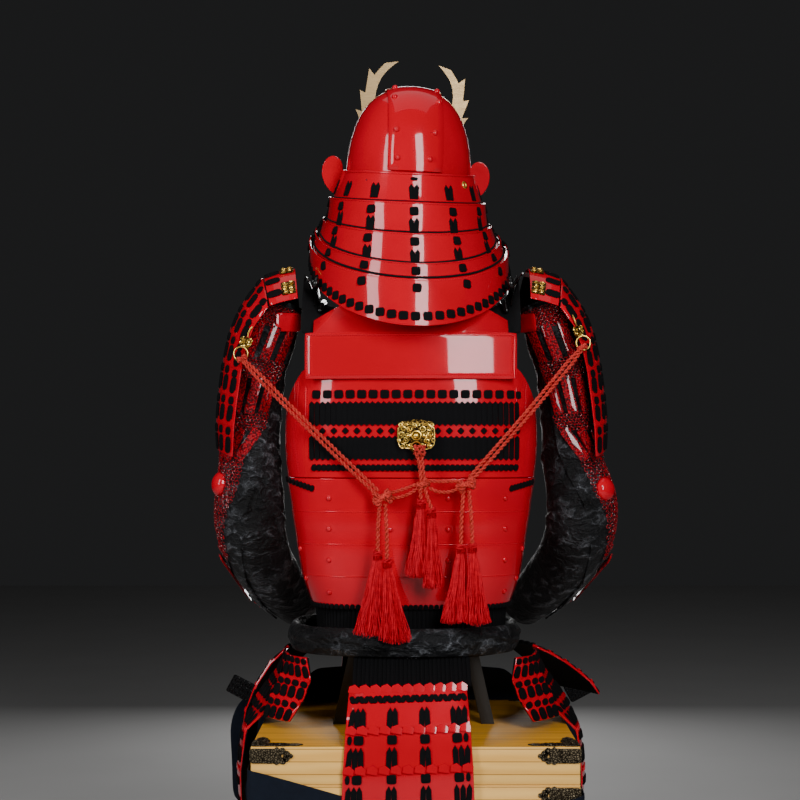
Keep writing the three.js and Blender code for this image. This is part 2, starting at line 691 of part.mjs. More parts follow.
// Thigh aprons: cloth that hangs under the front skirts and over the chest's front edge.
const APRON = {
  near: [[16, 166, 556], [16, 214, 514], [16, 245, 485], [16, 250, 440], [16, 251, 300]],
  far: [[158, 140, 548], [196, 200, 512], [246, 246, 485], [282, 253, 430], [300, 257, 300]],
};

function buildAprons() {
  for (const [name, side] of SIDES) {
    const cloth = skirtSurface(APRON, side);
    const flat = gridOf((s, t) => cloth(s, t).sub(vec(0, SKIRT_BOW * 4 * t * (1 - t), 0)),
      steps(9), steps(8));
    add(`thigh_apron_${name}`, wall(flat, CLOTH), BROCADE);
  }
}

// ---------------------------------------------------------------- fittings, cords and tassels

const CORD_Y = -163;
const KNOTS = {
  left: vec(-50, CORD_Y, 843),
  centre: vec(11, CORD_Y, 861),
  right: vec(79, CORD_Y, 861),
};
const RINGS = { left: vec(-264, -97, 1062), right: vec(266, -97, 1079) };
const BOW = { x: 2, y: -146.6, z: 938, half: 29, high: 21, thick: 3.4 };
const BALL = vec(6, CORD_Y, 911);

// Tassels in pairs, from the knot down: the middle, half width and half depth.
const TASSELS = {
  left: [
    { z: 829, x: -50, wide: 6, deep: 4, y: -163 },
    { z: 762, x: -50, wide: 12, deep: 5, y: -166 },
    { z: 748, x: -50, wide: 16, deep: 9, y: -170 },
    { z: 700, x: -49, wide: 27, deep: 11, y: -172 },
    { z: 640, x: -48, wide: 44, deep: 12, y: -172 },
    { z: 622, x: -48, wide: 48, deep: 12, y: -172 },
  ],
  centre: [
    { z: 847, x: 12, wide: 6, deep: 4, y: -163 },
    { z: 834, x: 15, wide: 10, deep: 6, y: -163 },
    { z: 822, x: 15, wide: 14, deep: 9, y: -164 },
    { z: 780, x: 14, wide: 21, deep: 11, y: -165 },
    { z: 701, x: 13, wide: 30, deep: 12, y: -165 },
  ],
  right: [
    { z: 847, x: 79, wide: 6, deep: 4, y: -163 },
    { z: 776, x: 77, wide: 12, deep: 5, y: -166 },
    { z: 762, x: 77, wide: 16, deep: 9, y: -170 },
    { z: 700, x: 76, wide: 26, deep: 11, y: -172 },
    { z: 644, x: 75, wide: 40, deep: 12, y: -172 },
  ],
};

function cordTube(points, diameter, pieces, sides = 8) {
  const section = new THREE.Shape(steps(sides).slice(0, -1).map((t) => new THREE.Vector2(
    diameter / 2 * Math.cos(t * 2 * Math.PI), diameter / 2 * Math.sin(t * 2 * Math.PI),
  )));
  const path = new THREE.CatmullRomCurve3(points);
  const options = { steps: pieces, bevelEnabled: false, extrudePath: path };
  return facingOut(indexed(new THREE.ExtrudeGeometry(section, options)));
}

// A straight stretch between two knots, leaving room for each, with a little sag.
function stretch(from, to, room, sag) {
  const length = from.distanceTo(to);
  return steps(4).map((t) => {
    const p = from.clone().lerp(to, lerp(room[0] / length, 1 - room[1] / length, t));
    p.z -= sag * 4 * t * (1 - t);
    return p;
  });
}

function buildFittings() {
  const { x, y, z, half, high, thick } = BOW;
  const lobes = steps(32).slice(0, -1).map((t) => {
    const angle = t * 2 * Math.PI;
    const wave = 1 + 0.06 * Math.cos(8 * angle);
    const square = (value) => Math.sign(value) * Math.abs(value) ** 0.6;
    return new THREE.Vector2(half * wave * square(Math.cos(angle)), high * wave * square(Math.sin(angle)));
  });
  const plate = new THREE.ExtrudeGeometry(new THREE.Shape(lobes), { depth: thick, bevelEnabled: false });
  plate.rotateX(Math.PI / 2).translate(x, y, z);
  const hoop = new THREE.TorusGeometry(13, 1.5, 6, 16).rotateX(Math.PI / 2);
  hoop.translate(x + 2, y - 2, z - 20);
  add('bow_plate', geometryFrom(solidOf(plate).add(solidOf(hoop))), GOLD);
  for (const [name] of SIDES) {
    const ring = new THREE.TorusGeometry(9, 1.2, 5, 14).rotateX(Math.PI / 2);
    const at = RINGS[name];
    add(`guard_ring_${name}`, facingOut(indexed(ring.translate(at.x, at.y, at.z))), GOLD);
  }
}

function buildCords() {
  const bead = (rx, ry, rz, at) => facingOut(indexed(
    new THREE.SphereGeometry(1, 10, 6).rotateX(Math.PI / 2).scale(rx, ry, rz)
      .translate(at.x, at.y, at.z),
  ));
  for (const [name, at] of Object.entries(KNOTS)) add(`knot_${name}`, bead(13, 9, 12, at), CORD);
  add('ball_knot', bead(10, 8.5, 12, BALL), CORD);
  const drop = stretch(BALL, KNOTS.centre, [12.6, 12.6], 0);
  add('drop_cord', cordTube(drop, 13, 3, 10), CORD);
  for (const [name] of SIDES) {
    const hold = RINGS[name].clone().add(vec(0, -3, -9));
    const run = stretch(hold, KNOTS[name], [4, 14], 3);
    add(`shoulder_cord_${name}`, cordTube(run, 11, 12), CORD);
    const loop = stretch(KNOTS.centre, KNOTS[name], [14, 14], 2);
    add(`loop_${name}`, cordTube(loop, 11, 4), CORD);
  }
  for (const [name, rows] of Object.entries(TASSELS)) {
    const rings = rows.map((_, i) => [1, rows.length - 1 - i]).reverse();
    const bundle = turned([[0, 0], ...rings, [0, rows.length - 1]], 12);
    const place = bundle.getAttribute('position');
    for (let i = 0; i < place.count; i += 1) {
      const row = rows[rows.length - 1 - Math.round(place.getZ(i))];
      place.setXYZ(i, row.x + row.wide * place.getX(i), row.y + row.deep * place.getY(i), row.z);
    }
    add(`tassels_${name}`, facingOut(bundle), CORD);
  }
}

buildChest();
buildStand();
buildHelmet();
buildCuirass();
buildStraps();
buildGuards();
buildSleeves();
buildWaist();
buildSkirts();
buildAprons();
buildFittings();
buildCords();

export default armour;
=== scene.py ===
# %% [markdown]
# # A red lacquered samurai armour
# The armour is plates of lacquered iron and leather, laced together with black braid. It sits on a
# wooden stand on its own pine chest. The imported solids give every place; these cells dress them.

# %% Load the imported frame
import math
import random
from math import cos, exp, pi, radians, sin, tau

import bmesh
import bpy
from mathutils import Matrix, Vector
from mathutils.bvhtree import BVHTree


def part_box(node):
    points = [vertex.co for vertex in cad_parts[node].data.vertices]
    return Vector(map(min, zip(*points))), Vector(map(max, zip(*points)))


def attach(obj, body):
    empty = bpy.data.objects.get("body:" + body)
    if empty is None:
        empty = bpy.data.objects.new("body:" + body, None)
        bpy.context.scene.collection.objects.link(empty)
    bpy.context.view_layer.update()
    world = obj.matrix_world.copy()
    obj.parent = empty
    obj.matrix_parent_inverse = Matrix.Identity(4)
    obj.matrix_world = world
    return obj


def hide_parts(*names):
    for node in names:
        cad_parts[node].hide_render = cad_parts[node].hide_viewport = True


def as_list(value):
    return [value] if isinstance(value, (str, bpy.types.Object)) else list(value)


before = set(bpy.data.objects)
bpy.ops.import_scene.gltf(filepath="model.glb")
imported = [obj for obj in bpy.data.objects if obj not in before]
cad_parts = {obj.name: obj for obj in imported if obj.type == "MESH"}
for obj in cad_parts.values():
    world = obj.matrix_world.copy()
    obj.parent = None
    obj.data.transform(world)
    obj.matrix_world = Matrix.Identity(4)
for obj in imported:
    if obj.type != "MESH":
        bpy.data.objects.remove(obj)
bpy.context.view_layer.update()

random.seed(7)

# %% [markdown]
# ## Camera
# The armour is seen from behind, from nearly three metres away at the height of its back plate.
# A long lens keeps the plates' proportions as the eye sees them.

# %% Place the camera
CAMERA_PLACE, CAMERA_PITCH, FOCAL_LENGTH, FAR_CLIP = (-0.0176, -2.803, 0.912), 91.63, 78.8, 40
bpy.ops.object.camera_add(location=CAMERA_PLACE, rotation=(radians(CAMERA_PITCH), 0, 0))
camera = bpy.context.object
camera.data.lens, camera.data.clip_end = FOCAL_LENGTH, FAR_CLIP
bpy.context.scene.camera = camera
print("camera at", tuple(camera.location))

# %% [markdown]
# ## Small tools
# Points are written in millimetres, as on the bench, and turned into metres once. Every new piece
# goes through `finish_piece`, which gives it its finish, hides the solids that it stands for, and
# leaves it at the origin with its place in its mesh.

# %% Points, selection and finished pieces
MM = 0.001


def at(x, y, z):
    return Vector((x, y, z)) * MM


def pick(*objects):
    bpy.ops.object.select_all(action="DESELECT")
    for one in objects:
        one.select_set(True)
    bpy.context.view_layer.objects.active = objects[0]


def added(adder, **settings):
    """A primitive, made at the origin unless its settings say otherwise."""
    bpy.ops.object.select_all(action="DESELECT")
    getattr(bpy.ops.mesh, f"primitive_{adder}_add")(**{"location": (0, 0, 0), **settings})
    return bpy.context.object


def settle(piece):
    """The piece's place goes into its mesh."""
    pick(piece)
    bpy.ops.object.transform_apply(location=True, rotation=True, scale=True)


def finish_piece(piece, name, finish, solids=(), angle=40):
    piece.name = name
    settle(piece)
    piece.data.materials.clear()
    piece.data.materials.append(finish)
    for face in piece.data.polygons:
        face.material_index = 0
    bpy.ops.object.shade_smooth_by_angle(angle=radians(angle))
    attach(piece, "root")
    if solids:
        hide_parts(*solids)
    return piece


def mesh_piece(name, points, faces):
    """A new object from points and faces, for the few shapes that no primitive comes near."""
    mesh = bpy.data.meshes.new(name)
    mesh.from_pydata([tuple(p) for p in points], [], faces)
    mesh.update()
    piece = bpy.data.objects.new(name, mesh)
    bpy.context.collection.objects.link(piece)
    return piece


def strips(rows, count, first=0, step=None, closed=True):
    """Quads between rows of points; a row has count points and starts step after the last one."""
    step = step or count
    quads = []
    for i in range(rows - 1):
        for k in range(count if closed else count - 1):
            a, b = first + i * step + k, first + i * step + (k + 1) % count
            quads.append((a, b, b + step, a + step))
    return quads


def edit_all(piece):
    pick(piece)
    bpy.ops.object.mode_set(mode="EDIT")
    bpy.ops.mesh.select_all(action="SELECT")


def leave_edit():
    bpy.ops.object.mode_set(mode="OBJECT")


def face_outwards(piece):
    edit_all(piece)
    bpy.ops.mesh.normals_make_consistent(inside=False)
    leave_edit()


def joined(parts, name):
    pick(*parts)
    bpy.ops.object.join()
    bpy.context.object.name = name
    return bpy.context.object


def modify(piece, kind, **settings):
    """Adds a modifier with its settings and applies it."""
    modifier = piece.modifiers.new(kind.lower(), kind)
    for key, value in settings.items():
        setattr(modifier, key, value)
    pick(piece)
    bpy.ops.object.modifier_apply(modifier=modifier.name)


def subdivide(piece, levels):
    modify(piece, "SUBSURF", levels=levels, render_levels=levels)


def clamp(value, low=0.0, high=1.0):
    return min(max(value, low), high)


# %% [markdown]
# ## Finishes as expressions
# A procedural finish is a small calculation from a point on the surface to a colour, a roughness
# and a bump. `Wire` wraps one socket so that the calculation reads as ordinary arithmetic.

# %% Shader wires
class Wire:
    def __init__(self, finish, socket):
        self.finish, self.socket = finish, socket

    def math(self, operation, other=0.0, swap=False):
        pair = [other, self] if swap else [self, other]
        return self.finish.node("Math", {"operation": operation}, {0: pair[0], 1: pair[1]})

    def __add__(self, other):
        return self.math("ADD", other)

    def __sub__(self, other):
        return self.math("SUBTRACT", other)

    def __mul__(self, other):
        return self.math("MULTIPLY", other)

    def __rsub__(self, other):
        return self.math("SUBTRACT", other, swap=True)

    __radd__, __rmul__ = __add__, __mul__

    def above(self, edge, soft=0.05):
        """0 below the edge and 1 above it, over a soft step."""
        return self.finish.node("MapRange", {"interpolation_type": "SMOOTHSTEP"},
                                {0: self, 1: edge - soft, 2: edge + soft})


class Finish:
    def __init__(self, name, **fixed):
        self.material = bpy.data.materials.new(name)
        self.material.use_nodes = True
        self.tree = self.material.node_tree
        self.shader = self.tree.nodes["Principled BSDF"]
        for key, value in fixed.items():
            label = key.replace("_", " ").title().replace("Ior", "IOR")
            self.shader.inputs[label].default_value = value
        place = self.tree.nodes.new("ShaderNodeTexCoord")
        self.place = Wire(self, place.outputs["Object"])
        self.uv = Wire(self, place.outputs["UV"])

    def node(self, kind, settings=None, inputs=None, output=0):
        made = self.tree.nodes.new("ShaderNode" + kind)
        for key, value in (settings or {}).items():
            setattr(made, key, value)
        for key, value in (inputs or {}).items():
            self.put(made.inputs[key], value)
        return Wire(self, made.outputs[output])

    def put(self, socket, value):
        if isinstance(value, Wire):
            self.tree.links.new(value.socket, socket)
        else:
            socket.default_value = value

    def noise(self, scale, detail=2.0, stretch=(1, 1, 1), distortion=0.0):
        spot = self.node("Mapping", None, {"Vector": self.place, "Scale": stretch})
        return self.node("TexNoise", None, {"Vector": spot, "Scale": scale, "Detail": detail,
                                            "Distortion": distortion})

    def cells(self, scale, feature="F1", stretch=(1, 1, 1)):
        spot = self.node("Mapping", None, {"Vector": self.place, "Scale": stretch})
        return self.node("TexVoronoi", {"feature": feature}, {"Vector": spot, "Scale": scale})

    def axis(self, which, place=None):
        return self.node("SeparateXYZ", None, {0: place or self.place}, output="XYZ".index(which))

    def mix(self, amount, first, second):
        colour = [(*c, 1) if isinstance(c, tuple) else c for c in (first, second)]
        return self.node("Mix", {"data_type": "RGBA"}, {0: amount, 6: colour[0], 7: colour[1]},
                         output=2)

    def done(self, color=None, roughness=None, bump=None, depth=0.1, distance=0.001):
        if color is not None:
            self.put(self.shader.inputs["Base Color"],
                     color if isinstance(color, Wire) else (*color, 1))
        if roughness is not None:
            self.put(self.shader.inputs["Roughness"], roughness)
        if bump is not None:
            height = self.node("Bump", None, {"Strength": depth, "Distance": distance,
                                              "Height": bump})
            self.put(self.shader.inputs["Normal"], height)
        return self.material


print("shader helpers ready")

# %% [markdown]
# ## Lacquer
# Armour lacquer is many thin coats over iron and leather: an even scarlet under a clear,
# wet-looking top coat. A very low wave in the surface bends the reflections a little, as brushed
# lacquer does, and the red is slightly deeper in patches.

# %% Red and black lacquers
def lacquer(name, shallow, deep):
    coat = Finish(name, coat_weight=0.66, coat_roughness=0.04, specular_ior_level=0.06)
    patches = coat.noise(9, 3)
    fine = coat.noise(260, 2)
    color = coat.mix(patches.above(0.5, 0.25), shallow, deep)
    swell = coat.noise(22, 1) + fine * 0.05
    return coat.done(color, 0.16 + fine * 0.08, swell, 0.16, 0.004)


RED_LACQUER = lacquer("red_lacquer", (0.58, 0.0001, 0.014), (0.49, 0.0001, 0.011))
BLACK_LACQUER = lacquer("black_lacquer", (0.003, 0.003, 0.003), (0.006, 0.005, 0.005))


def hammered_lacquer():
    coat = Finish("hammered_lacquer", coat_weight=0.7, coat_roughness=0.06,
                  specular_ior_level=0.12)
    dents = coat.cells(330)
    color = coat.mix(dents.above(0.5, 0.3), (0.40, 0.0004, 0.009), (0.05, 0.0002, 0.002))
    return coat.done(color, 0.28 + dents * 0.2, dents + coat.noise(90, 2), 0.8, 0.0018)


HAMMERED = hammered_lacquer()
print("lacquers:", RED_LACQUER.name, BLACK_LACQUER.name, HAMMERED.name)

# %% [markdown]
# ## Braid, cloth and silk
# The lacing is flat braid: fine diagonal ribs on a dull black. The sleeves are a black brocade
# with soft grey painted highlights on crumpled patches, which stand in for the light they catch.
# Cords and tassels are silk, coral and crimson.

# %% Braids, cloths and silks
RIB_WAVES, THREAD_WAVES = 1900, 5000


def braid(name, dark, light):
    cloth = Finish(name, specular_ior_level=0.12)
    slant = cloth.axis("X") + cloth.axis("Z")
    other = cloth.axis("X") - cloth.axis("Z")
    rib = (slant * RIB_WAVES).math("SINE") * (other * RIB_WAVES).math("SINE")
    color = cloth.mix(rib.above(0.1, 0.5), dark, light)
    return cloth.done(color, 0.86, rib + cloth.noise(800, 2), 0.5, 0.0006)


BLACK_BRAID = braid("black_braid", (0.0012, 0.0012, 0.0016), (0.005, 0.005, 0.006))


def brocade():
    cloth = Finish("brocade", specular_ior_level=0.2, sheen_weight=0.02, sheen_roughness=0.3)
    crush = cloth.noise(42, 4, (1, 1, 1.8), distortion=0.7)
    crinkle = crush.above(0.56, 0.09)
    sheen_patches = cloth.noise(9, 2, (1, 1, 1.4)).above(0.52, 0.11)
    leaf = cloth.cells(115, "DISTANCE_TO_EDGE").above(0.05, 0.04)
    # Painted highlight: grey colour on the crumpled patches stands in for light caught by the
    # folds.
    painted_sheen = (crinkle * 0.8 + 0.08) * sheen_patches
    thread = (cloth.axis("Z") * 5200).math("SINE") * 0.5 + 0.5
    lit = cloth.mix(leaf, (0.15, 0.158, 0.175), (0.055, 0.058, 0.066))
    color = cloth.mix(painted_sheen, (0.0012, 0.0012, 0.0016), lit)
    return cloth.done(color, 0.6 - painted_sheen * 0.25, crush * 1.6 + crinkle * 0.7 + leaf * 0.1
                      + thread * 0.05, 0.85, 0.006)


BROCADE = brocade()


def plain_cloth(name, dark, light):
    cloth = Finish(name, specular_ior_level=0.2)
    warp = (cloth.axis("X") * THREAD_WAVES).math("SINE")
    weft = (cloth.axis("Z") * THREAD_WAVES).math("SINE")
    color = cloth.mix(cloth.noise(120, 3), dark, light)
    return cloth.done(color, 0.9, warp * weft, 0.4, 0.0004)


NAVY_CLOTH = plain_cloth("navy_cloth", (0.0018, 0.0035, 0.0085), (0.005, 0.0085, 0.018))
BLACK_CLOTH = plain_cloth("black_cloth", (0.0012, 0.0012, 0.0015), (0.004, 0.004, 0.005))


def silk(name, dark, light, sheen):
    cord = Finish(name, sheen_weight=sheen, sheen_roughness=0.3, specular_ior_level=0.15)
    fibre = (cord.axis("X", cord.uv) * 2600 + cord.axis("Y", cord.uv) * 26).math("SINE")
    patch = cord.noise(170, 3)
    color = cord.mix(fibre * 0.3 + patch, dark, light)
    return cord.done(color, 0.52 + patch * 0.2, fibre, 0.35, 0.0005)


CORAL_SILK = silk("coral_silk", (0.22, 0.002, 0.002), (0.88, 0.075, 0.055), 0.05)
CRIMSON_SILK = silk("crimson_silk", (0.22, 0.0002, 0.004), (0.86, 0.001, 0.024), 0.0)
print("cloths ready")

# %% [markdown]
# ## Metals and woods
# The fittings are gilt wire over a dark chased ground. The antlers are a duller, brushed gold. The
# chest is clear-varnished pine with dark bronze corners, and the stand is painted black.

# %% Metals and woods
def chased_metal(name, bright, dark, scale, rough):
    metal = Finish(name, metallic=1.0)
    worked = metal.cells(scale, "DISTANCE_TO_EDGE")
    hollow = 1 - worked.above(0.16, 0.1)
    color = metal.mix(hollow, bright, dark)
    return metal.done(color, rough + hollow * 0.3 + metal.noise(500, 2) * 0.1,
                      worked + metal.noise(260, 2) * 0.3, 0.6, 0.0012)


BRONZE = chased_metal("dark_bronze", (0.15, 0.12, 0.075), (0.02, 0.015, 0.01), 300, 0.4)


def smooth_metal(name, light, dark, rough):
    metal = Finish(name, metallic=1.0)
    brushed = metal.noise(60, 3, (1, 1, 9))
    return metal.done(metal.mix(brushed, light, dark), rough + brushed * 0.18,
                      brushed, 0.12, 0.0006)


PALE_GOLD = smooth_metal("antler_gold", (0.44, 0.31, 0.16), (0.25, 0.165, 0.08), 0.3)
DARK_GILT = chased_metal("gilt_ground", (0.34, 0.20, 0.045), (0.02, 0.010, 0.004), 240, 0.36)
GOLD_WIRE = smooth_metal("gold_wire", (1.0, 0.74, 0.20), (0.88, 0.55, 0.10), 0.24)


def pine(name, axis, strips, light, dark):
    """Strips glued edge to edge, each with its own tone and a fine dark joint."""
    wood = Finish(name, coat_weight=0.06, coat_roughness=0.3, specular_ior_level=0.12)
    upright = axis == "Z"
    place = wood.axis(axis) * strips
    across = place.math("FRACT")
    joint = 1 - (across - 0.5).math("ABSOLUTE").above(0.472, -0.022)
    tone = wood.node("TexWhiteNoise", {"noise_dimensions": "1D"}, {"W": place.math("FLOOR")})
    ring = wood.node("TexWave", {"wave_type": "BANDS", "bands_direction": axis},
                     {"Vector": wood.node("Mapping", None,
                                          {"Vector": wood.place,
                                           "Scale": (0.2, 0.2 if upright else 1, 1)}),
                      "Scale": 16, "Distortion": 5.5, "Detail": 3, "Detail Scale": 1.1})
    fibre = wood.noise(90, 3, (0.35, 0.35 if upright else 12, 12))
    knots = 1 - wood.cells(6.5, stretch=(1, 1, 2.2)).above(0.05, 0.04)
    warm = wood.mix(ring * 0.45 + fibre * 0.3 + tone * 0.3, light, dark)
    color = wood.mix(knots * 0.6, wood.mix(joint, warm, (0.30, 0.13, 0.02)), (0.26, 0.10, 0.02))
    return wood.done(color, 0.36 + fibre * 0.15, fibre + ring * 0.4 - joint * 1.5, 0.15, 0.0006)


PINE = pine("pine", "Z", 54.6, (0.92, 0.56, 0.16), (0.74, 0.38, 0.08))
PINE_TOP = pine("pine_top", "Y", 17.0, (0.72, 0.35, 0.03), (0.50, 0.20, 0.012))


def black_wood():
    wood = Finish("black_wood", coat_weight=0.2, coat_roughness=0.3)
    grain = wood.noise(60, 3, (9, 9, 0.6))
    return wood.done(wood.mix(grain, (0.002, 0.002, 0.002), (0.007, 0.0065, 0.006)),
                     0.42 + grain * 0.2, grain, 0.2, 0.0006)


BLACK_WOOD = black_wood()
print("metals and woods ready")
# %% [markdown]
# ## Ropes
# Each cord is real laid rope: strands that wind round one line. The route comes first, as a smooth
# curve through a few points with a little sag. Each strand is then a thin tube that circles the
# route once in every few widths, which gives the rope its true outline and slanting ridges.

# %% Lay a rope along a route
def catmull_rom(a, b, c, d, t):
    """The point at t on the smooth curve from b to c."""
    return 0.5 * (2 * b + (c - a) * t + (2 * a - 5 * b + 4 * c - d) * t * t
                  + (3 * b - a - 3 * c + d) * t ** 3)


def smooth_route(points, step):
    """Points along a Catmull-Rom curve, about one step apart."""
    spots = [Vector(p) for p in points]
    ends = [2 * spots[0] - spots[1], *spots, 2 * spots[-1] - spots[-2]]
    route = []
    for a, b, c, d in zip(ends, ends[1:], ends[2:], ends[3:]):
        count = max(2, round((c - b).length / step))
        route += [catmull_rom(a, b, c, d, k / count) for k in range(count)]
    return [*route, spots[-1]]


def length_of(route):
    return sum((b - a).length for a, b in zip(route, route[1:]))


def frames(route):
    """A pair of side directions at each point, carried along without twisting."""
    along = [(route[min(i + 1, len(route) - 1)] - route[max(i - 1, 0)]).normalized()
             for i in range(len(route))]
    side = along[0].orthogonal().normalized()
    for direction in along:
        side = (side - direction * side.dot(direction)).normalized()
        yield side, direction.cross(side)


# How far each strand's own middle lies from the rope's, in diameters.
STRAND_SPREAD = {1: 0, 2: 0.24}


def lay_uv(piece, marks):
    """Each vertex takes its place along the run and round it, which the silk's fibres follow."""
    layer = piece.data.uv_layers.new(name="run")
    for loop in piece.data.loops:
        layer.data[loop.index].uv = marks[loop.vertex_index]


def rope_mesh(name, route, diameter, strands, pitch, sides=6):
    core = diameter * STRAND_SPREAD[strands]
    thick = diameter / 2 - core
    length = 0
    points, faces, marks = [], [], []
    for i, (here, (side, other)) in enumerate(zip(route, frames(route))):
        length += (here - route[i - 1]).length if i else 0
        for strand in range(strands):
            turn = tau * (length / pitch + strand / strands)
            middle = here + core * (side * cos(turn) + other * sin(turn))
            for k in range(sides):
                angle = turn + tau * k / sides
                points.append(middle + thick * (side * cos(angle) + other * sin(angle)))
                marks.append((length, k / sides))
    ring = strands * sides
    last = (len(route) - 1) * ring
    for first in range(0, last, sides):
        faces += strips(2, sides, first, ring)
    caps = [list(range(first, first + sides)) for first in range(0, ring, sides)]
    faces += [cap[::-1] for cap in caps] + [[last + k for k in cap] for cap in caps]
    piece = mesh_piece(name, points, faces)
    lay_uv(piece, marks)
    return piece


def lay_rope(name, points, diameter, solids, pitch, with_pieces=()):
    route = smooth_route(points, pitch / 9)
    piece = rope_mesh(name, route, diameter, 2, pitch)
    finish_piece(piece, name, CORAL_SILK, solids, 80)
    run = length_of(route)
    tuple(route[0])
    [tuple(p) for p in route]
    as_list(with_pieces)
    print(f"{name}: {run * 1000:.0f} mm of {diameter * 1000:.1f} mm rope")


# %% [markdown]
# ## The bow of cords
# Two long cords come from the rings on the shoulder guards to knots low on the back. Doubled loops
# join these to the middle knot, which hangs from the gilt fitting. Each knot is a few turns of the
# same rope wound round itself.

# %% Knots
KNOT = {"left": at(-44, -164, 840), "centre": at(17, -163, 860), "right": at(82, -164, 860)}
RING = {"left": at(-264, -97, 1062), "right": at(266, -97, 1079)}
BALL = at(12, -163, 911)


def wound_knot(name, middle, size, diameter, turns, solids, seed):
    """Rope wound over itself, each turn tilted another way."""
    maker = random.Random(seed)
    route, count = [], 14
    for _ in range(turns):
        tilt = Matrix.Rotation(maker.uniform(-0.75, 0.75), 3, "Y")
        lean = Matrix.Rotation(maker.uniform(-0.5, 0.5), 3, "Z")
        for k in range(count):
            angle = tau * k / count
            spot = Vector((cos(angle) * size[0], sin(angle) * size[1],
                           cos(angle) * 0.35 * size[2]))
            route.append(middle + tilt @ (lean @ spot))
    route = smooth_route(route, diameter / 2.2)
    piece = rope_mesh(name, route, diameter, 2, diameter * 1.9)
    return finish_piece(piece, name, CORAL_SILK, solids, 80)


# Half sizes in millimetres, rope diameter in metres, turns and seed of each knot.
KNOT_SHAPE = {"left": ((13.5, 6, 11), 0.0072, 6, 3), "centre": ((8.5, 5, 8.5), 0.0066, 4, 5),
              "right": ((13, 6, 8), 0.0072, 5, 9)}
knots = {side: wound_knot(f"knot_{side}_rope", KNOT[side], at(*size), diameter, turns,
                          [f"knot_{side}"], seed)
         for side, (size, diameter, turns, seed) in KNOT_SHAPE.items()}


def turks_head(name, middle, radius, height, solids):
    """The woven ball under the gilt fitting: one strand over and under, three times round."""
    route = []
    for k in range(121):
        turn = tau * 3 * k / 120
        wave = turn * 4 / 3
        out = radius * (1 + 0.16 * sin(2 * wave))
        route.append(middle + Vector((out * cos(turn), out * 0.85 * sin(turn),
                                      height * cos(wave))))
    piece = rope_mesh(name, route, 0.0052, 2, 0.01)
    finish_piece(piece, name, CORAL_SILK, solids, 80)


turks_head("ball_knot_rope", BALL, 0.0068, 0.0065, ["ball_knot"])
print("knots made")

# %% [markdown]
# ## Tassels
# A tassel is a skein of silk, tied near its top, that falls in a loose skirt. Here every thread is
# a thin strip of its own, gathered at the neck and spread at the foot, each a little longer or
# shorter than the next. Two tassels hang from each knot.

# %% Threads of one tassel
THREADS, ROWS, HEAD_RADIUS = 300, 9, 0.0075


def tassel(top, length, foot, seed, drift):
    maker = random.Random(seed)
    points, faces = [], []
    for _ in range(THREADS):
        angle, reach = maker.uniform(0, tau), math.sqrt(maker.random())
        own = length * maker.uniform(0.93, 1.0) * (1 - 0.05 * reach)
        lean = Vector((cos(angle) * reach * foot[0], sin(angle) * reach * foot[1], 0))
        wave, thin = maker.uniform(0, 6.28), maker.uniform(0.00036, 0.00056)
        base = len(points)
        for i in range(ROWS):
            t = i / (ROWS - 1)
            neck = 0.9 - 0.42 * exp(-((t - 0.1) / 0.05) ** 2)
            swell = HEAD_RADIUS * neck * (1 - t) ** 1.5 \
                + (0.25 + 0.75 * t) * t ** 0.55 * 0.92 * foot[0]
            share = swell / foot[0]
            spot = top + lean * share + Vector((drift * t, 0, -own * t))
            spot.x += 0.0019 * t * sin(10 * t + wave) + 0.0007 * t * sin(31 * t + 2 * wave)
            spot.y += 0.0010 * t * cos(9 * t + wave)
            for k in range(3):
                turn = tau * k / 3 + wave
                points.append(spot + Vector((cos(turn), sin(turn), 0)) * thin)
        last = base + (ROWS - 1) * 3
        faces += [*strips(ROWS, 3, base), (base + 2, base + 1, base), (last, last + 1, last + 2)]
    piece = mesh_piece("threads", points, faces)
    face_outwards(piece)
    lay_uv(piece, [(spot.z, index // (3 * ROWS) * 0.37) for index, spot in enumerate(points)])
    return piece


def neck_band(where, radius):
    """The whipping round a tassel's neck."""
    route = [where + Vector((radius * cos(a), radius * 0.8 * sin(a), 0.0004 * a))
             for a in (tau * k / 14 for k in range(43))]
    return rope_mesh("whipping", route, 0.0022, 2, 0.005, 4)


def hang_tassels(side, lengths, foot, drifts, seed):
    made, bands, solid = [], [], f"tassels_{side}"
    for k, (x, y, z) in enumerate(HEADS[side]):
        made.append(tassel(at(x, y, z), lengths[k] * MM, foot, seed + k, drifts[k] * MM))
        bands.append(neck_band(at(x, y, z - 11), 0.0068))
        bands.append(wound_knot("cap", at(x, y, z + 1), at(5.5, 4, 4), 0.0038, 3, [], seed + 7 * k))
    threads = finish_piece(joined(made, f"threads_{side}"), f"tassel_threads_{side}",
                           CRIMSON_SILK, [solid], 60)
    caps = finish_piece(joined(bands, "caps"), f"tassel_caps_{side}", CRIMSON_SILK,
                        [solid], 80)
    print(f"{threads.name}: {len(threads.data.polygons)} faces")
    return threads, caps


HEADS = {"left": [(-51, -168, 757), (-37, -169, 745)], "centre": [(14, -165, 834), (30, -164, 820)],
         "right": [(74, -168, 767), (91, -168, 768)]}
# Lengths of both tassels, half width and depth of their feet, how far they drift, and a seed.
TASSELS = {"left": ((129, 127), (0.0275, 0.0105), (-12, 13), 11),
           "centre": ((118, 121), (0.019, 0.0095), (-7, 2), 23),
           "right": ((120, 122), (0.0225, 0.0105), (-11, 7), 37)}
tassels = {side: hang_tassels(side, *row) for side, row in TASSELS.items()}

# %% [markdown]
# ## The cords between the knots
# Each cord is laid at its real width, and its length is printed.

# %% Shoulder cords, loops and tassel cords
def sagging(start, end, sag, count):
    return [start.lerp(end, k / count) + Vector((0, 0, -sag)) * 4 * (k / count)
            * (1 - k / count) for k in range(count + 1)]


